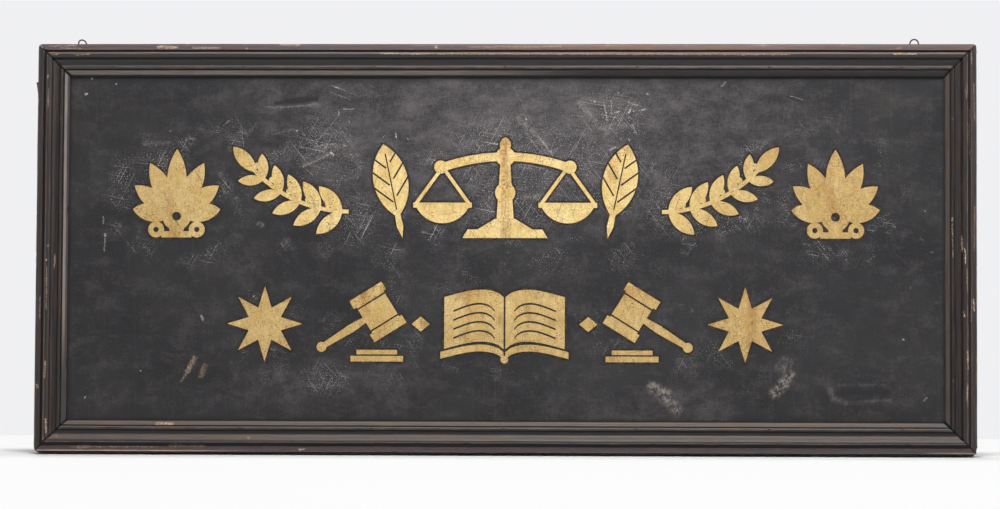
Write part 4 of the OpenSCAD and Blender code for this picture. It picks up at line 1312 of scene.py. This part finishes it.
@dataclass
class PaintedSheet:
    """The painted sheet metal, with its dent, its gentle waves and a plain pressed oval."""

    sign: SignSize
    grid: float = 5.0
    thickness: float = 0.6
    bar_width: float = 60.0
    upright_x: float = 254.0
    upright_width: float = 45.0
    wave: float = 0.35
    dent_x: float = -340.0
    dent_z: float = 569.0
    dent_half_length: float = 44.0
    dent_half_height: float = 8.5
    dent_tilt: float = 5.0
    dent_depth: float = 1.3
    dent_lip: float = 1.8
    oval_x: float = 578.0
    oval_z: float = 96.0
    oval_length: float = 108.0
    oval_height: float = 30.0
    oval_depth: float = 0.55
    oval_wall: float = 1.6
    # How far round the dent and the oval the grid is finer, and its cuts there
    dent_grid: tuple[float, float, int] = (10.0, 11.5, 1)
    oval_grid: tuple[float, float, int] = (6.0, 6.0, 3)
    gold_ripple: float = 1.5
    cut_in_reach: float = 7.0
    cut_in_fade: float = 5.0
    scuff_reach: float = 70.0
    scuff_core: float = 15.0

    def depth(self, x: float, z: float) -> float:
        """How far the face lies behind its plane.

        Args:
            x, z: The place.

        Returns:
            The depth.
        """
        clear = min(self.sign.half_width - self.bar_width - abs(x), z - self.bar_width,
                    self.sign.strainer_height - self.bar_width - z,
                    abs(abs(x) - self.upright_x) - self.upright_width / 2)
        sag = self.wave * ease(clear, 4.0, 80.0) * (0.5 + 0.5 * ripple(150.0, x, z))
        tilt = math.radians(self.dent_tilt)
        run, rise = x - self.dent_x, z - self.dent_z
        along = (run * math.cos(tilt) + rise * math.sin(tilt)) / self.dent_half_length
        across = (rise * math.cos(tilt) - run * math.sin(tilt)) / self.dent_half_height
        across *= self.dent_lip if across < 0 else 1.0
        dent = self.dent_depth * ease(along * along + across * across, 1.0, 0.05)
        radius = self.oval_height / 2
        beyond = max(0.0, abs(x - self.oval_x) - self.oval_length / 2 + radius)
        past = math.hypot(beyond, z - self.oval_z) - radius
        return sag + dent + self.oval_depth * ease(past, self.oval_wall / 2, -self.oval_wall / 2)

    def refine(self, mesh: bmesh.types.BMesh, oval: Oval, grid: tuple[float, float, int]) -> None:
        """Makes the grid finer over an oval and round it.

        Args:
            mesh: The sheet.
            oval: The oval.
            grid: How far past it, along and up, and the cuts across each edge.
        """
        x, z, half_x, half_z = oval
        past_x, past_z, cuts = grid
        edges = [edge for edge in mesh.edges
                 if all(abs(end.co.x - x) < half_x + past_x and abs(end.co.z - z) < half_z + past_z
                        for end in edge.verts)]
        bmesh.ops.subdivide_edges(mesh, edges=edges, cuts=cuts, use_grid_fill=True)

    def build(self) -> None:
        """Builds and dresses the sheet, and marks how near each place lies to the gold."""
        gathered = bmesh.new()
        for name in GILDED:
            gathered.from_mesh(bpy.data.objects[name].data)
        gold = BVHTree.FromBMesh(gathered)
        gathered.free()
        low, high = (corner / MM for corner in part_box("face_sheet"))
        bench = Bench()
        mesh = bench.mesh
        cut_in = mesh.verts.layers.float.new("cut_in")
        scuffed = mesh.verts.layers.float.new("scuffed")
        wide, tall = high.x - low.x, high.z - low.z
        columns, rows = round(wide / self.grid), round(tall / self.grid)
        bmesh.ops.create_grid(mesh, x_segments=columns, y_segments=rows, size=0.5)
        upright = Matrix.Translation((low + high) / 2) @ Matrix.Rotation(math.pi / 2, 4, "X")
        bmesh.ops.transform(mesh, verts=mesh.verts, matrix=upright @ Matrix.Diagonal((wide, tall, 1, 1)))
        dent = (self.dent_x, self.dent_z, self.dent_half_length, self.dent_half_height)
        oval = (self.oval_x, self.oval_z, self.oval_length / 2, self.oval_height / 2)
        self.refine(mesh, dent, self.dent_grid)
        self.refine(mesh, oval, self.oval_grid)
        for vert in mesh.verts:
            vert.co.y = low.y + self.depth(vert.co.x, vert.co.z)
            near = gold.find_nearest(Vector((vert.co.x, low.y, vert.co.z)) * MM, self.scuff_reach * MM)
            if near[3] is not None:
                away = near[3] / MM + self.gold_ripple * ripple(22.0, vert.co.x, vert.co.z)
                vert[cut_in] = ease(away, self.cut_in_reach, self.cut_in_reach - self.cut_in_fade)
                vert[scuffed] = ease(away, self.scuff_reach, self.scuff_core)
        bmesh.ops.recalc_face_normals(mesh, faces=mesh.faces)
        if mesh.faces[0].normal.y > 0:
            bmesh.ops.reverse_faces(mesh, faces=mesh.faces)
        bmesh.ops.solidify(mesh, geom=mesh.faces[:], thickness=self.thickness)
        bench.put_down("painted_face", PanelPaint().material(), SIGN_BODY, "face_sheet")


@dataclass
class Strainer:
    """The six bars behind the sheet, with softened edges and worn corners."""

    sign: SignSize
    softened: float = 0.6
    facets: int = 3
    weld: float = 1e-3
    flat_turn: float = 1.0
    # Only edges that turn by more than this angle, in radians, and are longer than this are softened
    sharp_turn: float = 1.0
    short_edge: float = 12.0

    def build_bar(self, node: bpy.types.Object, material: bpy.types.Material) -> None:
        """Copies a bar, wears its outer corners and softens its edges.

        Args:
            node: The bar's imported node.
            material: Its finish.
        """
        bench = Bench()
        mesh = bench.mesh
        mesh.from_mesh(node.data)
        mesh.transform(Matrix.Scale(1 / MM, 4))
        bmesh.ops.remove_doubles(mesh, verts=mesh.verts, dist=self.weld)
        flat_turn = math.radians(self.flat_turn)
        bmesh.ops.dissolve_limit(mesh, angle_limit=flat_turn, verts=mesh.verts, edges=mesh.edges)
        for (right, top), reach in WORN_CORNERS.items():
            if not top:
                self.wear_corner(bench, 1 if right else -1, reach)
        bmesh.ops.recalc_face_normals(mesh, faces=mesh.faces)
        sharp = [edge for edge in mesh.edges
                 if len(edge.link_faces) == 2 and edge.calc_face_angle() > self.sharp_turn
                 and edge.calc_length() > self.short_edge]
        bmesh.ops.bevel(
            mesh, geom=sharp, offset=self.softened, segments=2, profile=0.5, affect="EDGES",
            clamp_overlap=True, material=-1,
        )
        bench.face_out()
        bench.put_down(f"worn_{node.name}", material, SIGN_BODY, node.name)

    def wear_corner(self, bench: Bench, way: int, reach: tuple[float, float]) -> None:
        """Cuts a lower corner round with a few flats.

        Args:
            bench: Where the bar lies.
            way: 1 at the right end and -1 at the left.
            reach: How far the corner is worn, across and up.
        """
        for number in range(self.facets):
            angle = math.pi / 2 * (number + 0.5) / self.facets
            out = Vector((math.cos(angle) / reach[0] * way, 0.0, -math.sin(angle) / reach[1])).normalized()
            inset = reach[0] * (1 - math.cos(angle))
            point = Vector(((self.sign.half_width - inset) * way, 0.0, reach[1] * (1 - math.sin(angle))))
            if any((vert.co - point).dot(out) > 0.01 for vert in bench.mesh.verts):
                bench.cut(point, out, keep_both=False)

    def build(self, nodes: dict[str, bpy.types.Object]) -> None:
        """Builds and dresses the bars.

        Args:
            nodes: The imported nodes.
        """
        lying = ("bottom_rail", "top_rail")
        standing = ("left_stile", "right_stile", "left_upright", "right_upright")
        for title, upright, names in (("pine_lying", False, lying), ("pine_standing", True, standing)):
            material = OldPine(title, upright, self.sign.half_width, self.sign.strainer_height).material()
            for name in names:
                self.build_bar(nodes[f"strainer_{name}"], material)


@dataclass
class ScrewEye:
    """A screw eye bent from one wire: a threaded shank, an elbow and an open ring."""

    body: str
    node: str
    foot: Vector
    turn: float
    lean: float
    wire_radius: float = 1.15
    tip_radius: float = 0.15
    ring_radius: float = 6.85
    ring_turn: float = 325.0
    rise: float = 0.4
    ring_steps: int = 44
    elbow_radius: float = 1.6
    elbow_steps: int = 6
    shank: float = 26.0
    neck: float = 4.0
    point: float = 5.0
    thread_radius: float = 1.6
    pitch: float = 1.6
    flank: float = 0.45
    root: float = 0.75
    thread_steps: int = 14
    sunk: float = 0.5
    cut_end: tuple[tuple[float, float], ...] = ((0.2, 0.85), (0.1, 0.7))

    def bend_back(self, bench: Bench) -> None:
        """Leans the ring back over its own foot.

        Args:
            bench: Where the ring stands upright.
        """
        pivot = Vector((0.0, 0.0, self.rise + self.wire_radius))
        for vert in bench.mesh.verts:
            share = ease(vert.co.z, self.rise - 0.4, pivot.z + 1.2)
            vert.co = pivot + Matrix.Rotation(-math.radians(self.lean) * share, 3, "X") @ (vert.co - pivot)

    def cut_thread(self, bench: Bench) -> None:
        """Winds the thread round the shank.

        Args:
            bench: Where the shank stands.
        """
        turns = math.floor((self.shank - self.neck) / self.pitch - 1)
        known = set(bench.mesh.verts)
        made = bmesh.ops.create_circle(bench.mesh, cap_ends=True, segments=3, radius=1.0)
        crest, root, flank = self.thread_radius, self.wire_radius * self.root, self.flank * self.pitch
        places = ((crest, 0.0), (root, flank), (root, -flank))
        for vert, (away, height) in zip(made["verts"], places):
            vert.co = (away, 0.0, height - self.neck - self.pitch)
        face = made["verts"][0].link_faces[0]
        bmesh.ops.spin(
            bench.mesh, geom=[face, *face.edges, *face.verts], cent=(0, 0, 0), axis=(0, 0, 1),
            dvec=(0, 0, -self.pitch / self.thread_steps), angle=math.tau * turns,
            steps=self.thread_steps * turns, use_duplicate=False,
        )
        for vert in bench.mesh.verts:
            if vert not in known:
                slim = ease(vert.co.z, -self.shank, -self.shank + self.point + 2)
                slim *= 0.7 + 0.3 * ease(vert.co.z, -self.neck + 0.5, -self.neck - 2.5)
                vert.co.x *= slim
                vert.co.y *= slim

    def build(self, material: bpy.types.Material) -> None:
        """Builds and dresses the eye.

        Args:
            material: Its finish.
        """
        bench = Bench()
        radius, elbow = self.ring_radius, self.elbow_radius
        slant = math.asin(elbow / (radius + elbow))
        middle = self.rise + self.wire_radius + radius
        start = middle - (radius + elbow) * math.cos(slant)
        across = Vector((0.0, 1.0, 0.0))
        shank = Rod(bench, Vector((0, 0, -self.shank)), Vector((0, 0, 1)), self.tip_radius)
        shank.grow(Vector((0, 0, self.point)), self.wire_radius / self.tip_radius)
        shank.grow(Vector((0, 0, self.shank - self.point - self.sunk)))
        shank.grow(Vector((0, 0, start + self.sunk)))
        shank.bend(Vector((elbow, 0, start)), across, 90 - math.degrees(slant), self.elbow_steps)
        shank.bend(Vector((0, 0, middle)), -across, self.ring_turn - math.degrees(slant), self.ring_steps)
        heading = shank.end.normal.copy()
        for run, scale in self.cut_end:
            shank.grow(heading * run, scale)
        self.bend_back(bench)
        bench.face_out()
        self.cut_thread(bench)
        bench.face_out()
        seat = Matrix.Translation(self.foot) @ Matrix.Rotation(math.radians(self.turn), 4, "Z")
        bmesh.ops.transform(bench.mesh, verts=bench.mesh.verts, matrix=seat)
        bench.put_down(f"wire_{self.body}", material, self.body, self.node, crease=50.0)


@dataclass
class BentNail:
    """An old nail in the sign's left edge, bent up along it."""

    sign: SignSize
    y: float = 5.0
    z: float = 577.0
    inside: float = 20.0
    stand_off: float = 1.8
    bend_radius: float = 2.2
    lean: float = 7.0
    length: float = 26.0
    radius: float = 1.3
    tip_radius: float = 0.4
    point: float = 2.0
    bend_steps: int = 8
    parts: int = 4
    sway: float = 0.35
    pitting: float = 0.08
    # How far each step of the head rises, and its size against the one before
    head: tuple[tuple[float, float], ...] = ((0.15, 1.7), (0.45, 1.03), (0.4, 0.9), (0.2, 0.6))

    def build(self, material: bpy.types.Material) -> None:
        """Builds and dresses the nail.

        Args:
            material: Its finish.
        """
        bench = Bench()
        lean, turn = math.radians(self.lean), 90 - self.lean
        run = self.bend_radius * math.tan(math.radians(turn / 2))
        knee_x = -self.sign.half_width - self.stand_off
        up = Vector((-math.sin(lean), 0.0, math.cos(lean)))
        start = Vector((-self.sign.half_width + self.inside, self.y, self.z))
        rod = Rod(bench, start, Vector((-1, 0, 0)), self.tip_radius)
        rod.grow(Vector((-self.point, 0, 0)), self.radius / self.tip_radius)
        rod.grow(Vector((knee_x + run + self.point - start.x, 0, 0)))
        centre = Vector((knee_x + run, self.y, self.z + self.bend_radius))
        rod.bend(centre, Vector((0, 1, 0)), turn, self.bend_steps)
        for _ in range(self.parts):
            rod.grow(up * ((self.length - run) / self.parts))
        for rise, scale in self.head:
            rod.grow(up * rise, scale)
        bench.face_out()
        for vert in bench.mesh.verts:
            above = ease(vert.co.z, self.z, self.z + 8)
            vert.co.y += self.sway * above * ripple(11.0, vert.co.z, 3.0)
            vert.co += vert.normal * self.pitting * ripple(1.6, *vert.co)
        bench.put_down("bent_fixing_nail", material, SIGN_BODY, "bent_nail", crease=50.0)


@dataclass
class Studio:
    """The camera, the soft lights, the floor and the white round them, in metres."""

    distance: float = 8.0
    azimuth: float = 2.5
    elevation: float = -4.4
    roll: float = 0.31
    target: tuple[float, float, float] = (-0.0084, 0.0, 0.3231)
    lens: float = 177.52
    white: float = 0.985
    wall: Colour = (0.87, 0.872, 0.895)
    ambient: float = 0.26
    floor_y: float = 0.0112
    floor_lean: float = 8.0
    floor_size: float = 60.0
    floor_back: float = 0.27
    floor_grey: float = 0.92
    floor_glow: float = 0.93
    shaded_x: float = 770.0
    # Each softbox's name, place, width, height and power
    lights: tuple[tuple, ...] = (
        ("overhead", (0.1, -1.3, 1.75), 1.4, 0.7, 26.0),
        ("key", (1.6, -2.6, 2.6), 2.0, 1.2, 30.0),
        ("side", (3.2, -0.9, 0.9), 0.8, 1.6, 18.0),
        ("fill", (-2.8, -3.0, 1.0), 1.8, 1.8, 8.0),
        ("rear", (-1.2, 3.2, 2.2), 2.4, 1.6, 60.0),
    )

    def place_camera(self) -> None:
        """Puts the camera where the photograph was taken from."""
        turn, rise = math.radians(self.azimuth), math.radians(self.elevation)
        back = Vector((math.sin(turn) * math.cos(rise), -math.cos(turn) * math.cos(rise), math.sin(rise)))
        data = bpy.data.cameras.new("camera")
        data.lens, data.clip_start, data.clip_end = self.lens, 0.5, 100.0
        camera = stand("camera", data)
        camera.location = Vector(self.target) + back * self.distance
        level = (-back).to_track_quat("-Z", "Y").to_matrix().to_4x4()
        camera.rotation_euler = (level @ Matrix.Rotation(math.radians(self.roll), 4, "Z")).to_euler()
        bpy.context.scene.camera = camera

    def hang_light(self, name: str, place: tuple, width: float, height: float, power: float) -> None:
        """Hangs a softbox that faces the sign.

        Args:
            name: The light's name.
            place: Its place, in metres.
            width, height: Its size, in metres.
            power: Its power, in watts.
        """
        data = bpy.data.lights.new(name, "AREA")
        data.shape, data.size, data.size_y, data.energy = "RECTANGLE", width, height, power
        light = stand(name, data)
        light.location = place
        light.rotation_euler = (Vector(self.target) - Vector(place)).to_track_quat("-Z", "Y").to_euler()

    def rays(self, shop: Recipe) -> tuple[Tap, Tap]:
        """Tells the rays that look at a surface from those that only gather its light.

        Args:
            shop: The recipe that needs them.

        Returns:
            1 for a ray from the camera, and 1 for a ray off a mirror or through glass.
        """
        path = shop.node("ShaderNodeLightPath", {}, {})
        kinds = ("Camera", "Glossy", "Transmission")
        straight, mirrored, through = (Tap(shop, path.outputs[f"Is {kind} Ray"]) for kind in kinds)
        return straight, mirrored.larger(through)

    def whiten(self) -> None:
        """Makes the world white to the eye, and off metal on the wall's side, and softer as a light."""
        world = bpy.data.worlds.new("white_studio")
        bpy.context.scene.world = world
        shop = Recipe("", world)
        straight, indirect = self.rays(shop)
        wall_side = shop.make("ShaderNodeTexCoord", {}, {}, "Generated").parts()[1].ease(0.1, 0.5)
        colour = shop.mix(straight.larger(indirect * wall_side), (self.ambient,) * 3, self.wall)
        shop.end(shop.make("ShaderNodeBackground", {}, {"Color": colour, "Strength": 1.0}), "World")

    def lay_floor(self) -> None:
        """Lays a pale floor that is clear from below; the sign leans back on it."""
        shop = Recipe("studio_floor")
        x, y, _ = shop.place()
        pale = shop.make("ShaderNodeBsdfDiffuse", {}, {"Color": (self.floor_grey,) * 3})
        glow = shop.make("ShaderNodeEmission", {}, {"Color": (1.0, 1.0, 1.0), "Strength": self.white})
        away = y.size().larger(x.size() - self.shaded_x).ease(30.0, 90.0, 0.0, self.floor_glow)
        straight, indirect = self.rays(shop)
        seen = shop.make("ShaderNodeMixShader", {}, {0: straight.larger(indirect) * away, 1: pale, 2: glow})
        clear = shop.make("ShaderNodeBsdfTransparent", {}, {})
        below = shop.make("ShaderNodeNewGeometry", {}, {}, "Backfacing")
        material = shop.end(shop.make("ShaderNodeMixShader", {}, {0: below, 1: seen, 2: clear}))
        bench = Bench()
        bmesh.ops.create_grid(bench.mesh, x_segments=1, y_segments=1, size=self.floor_size / 2)
        for vert in bench.mesh.verts:
            vert.co.y = min(vert.co.y, self.floor_back)
        leaning = Matrix.Rotation(math.radians(self.floor_lean), 4, "X")
        seat = Matrix.Translation((0.0, self.floor_y, 0.0)) @ leaning
        bmesh.ops.transform(bench.mesh, verts=bench.mesh.verts, matrix=seat)
        bench.lift_off("studio_floor", material)

    def build(self) -> None:
        """Builds the studio."""
        self.place_camera()
        self.whiten()
        self.lay_floor()
        for light in self.lights:
            self.hang_light(*light)
        bpy.context.scene.view_settings.view_transform = "Standard"


def dress(nodes: dict[str, bpy.types.Object], material: bpy.types.Material, *names: str) -> None:
    """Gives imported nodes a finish.

    Args:
        nodes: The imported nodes.
        material: The finish.
        names: Those to dress.
    """
    for name in names:
        for slot in nodes[name].material_slots:
            slot.material = material
        LOG.info("%s: dressed with %s", name, material.name)


def main() -> None:
    """Builds the sign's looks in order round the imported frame."""
    logging.basicConfig(level=logging.INFO, format="%(name)s %(message)s", stream=sys.stdout)
    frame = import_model()
    nodes = frame["nodes"]
    sign = SignSize.measured()
    LOG.info("sign: %s", sign)

    Studio().build()
    MouldingFrame(sign).build()
    PaintedSheet(sign).build()
    dress(nodes, GoldLeaf().material(), *GILDED)
    dress(nodes, OutlinePaint().material(), "ornament_outline")
    Strainer(sign).build(nodes)
    dress(nodes, RUSTY_IRON.material(), "moulding_nails", "mitre_nails", "sheet_tacks")
    dress(nodes, SCREW_STEEL.material(), "lap_screws")
    BentNail(sign).build(NAIL_IRON.material())
    feet = {joint["child"]: Vector(joint["pos_m"]) / MM for joint in frame["record"]["behaviour"]["joints"]}
    wire = EYE_WIRE.material()
    ScrewEye("left_eye", "screw_eye_left", feet["left_eye"], 30.0, 18.0).build(wire)
    ScrewEye("right_eye", "screw_eye_right", feet["right_eye"], -8.0, 0.0).build(wire)


if __name__ == "__main__":
    main()
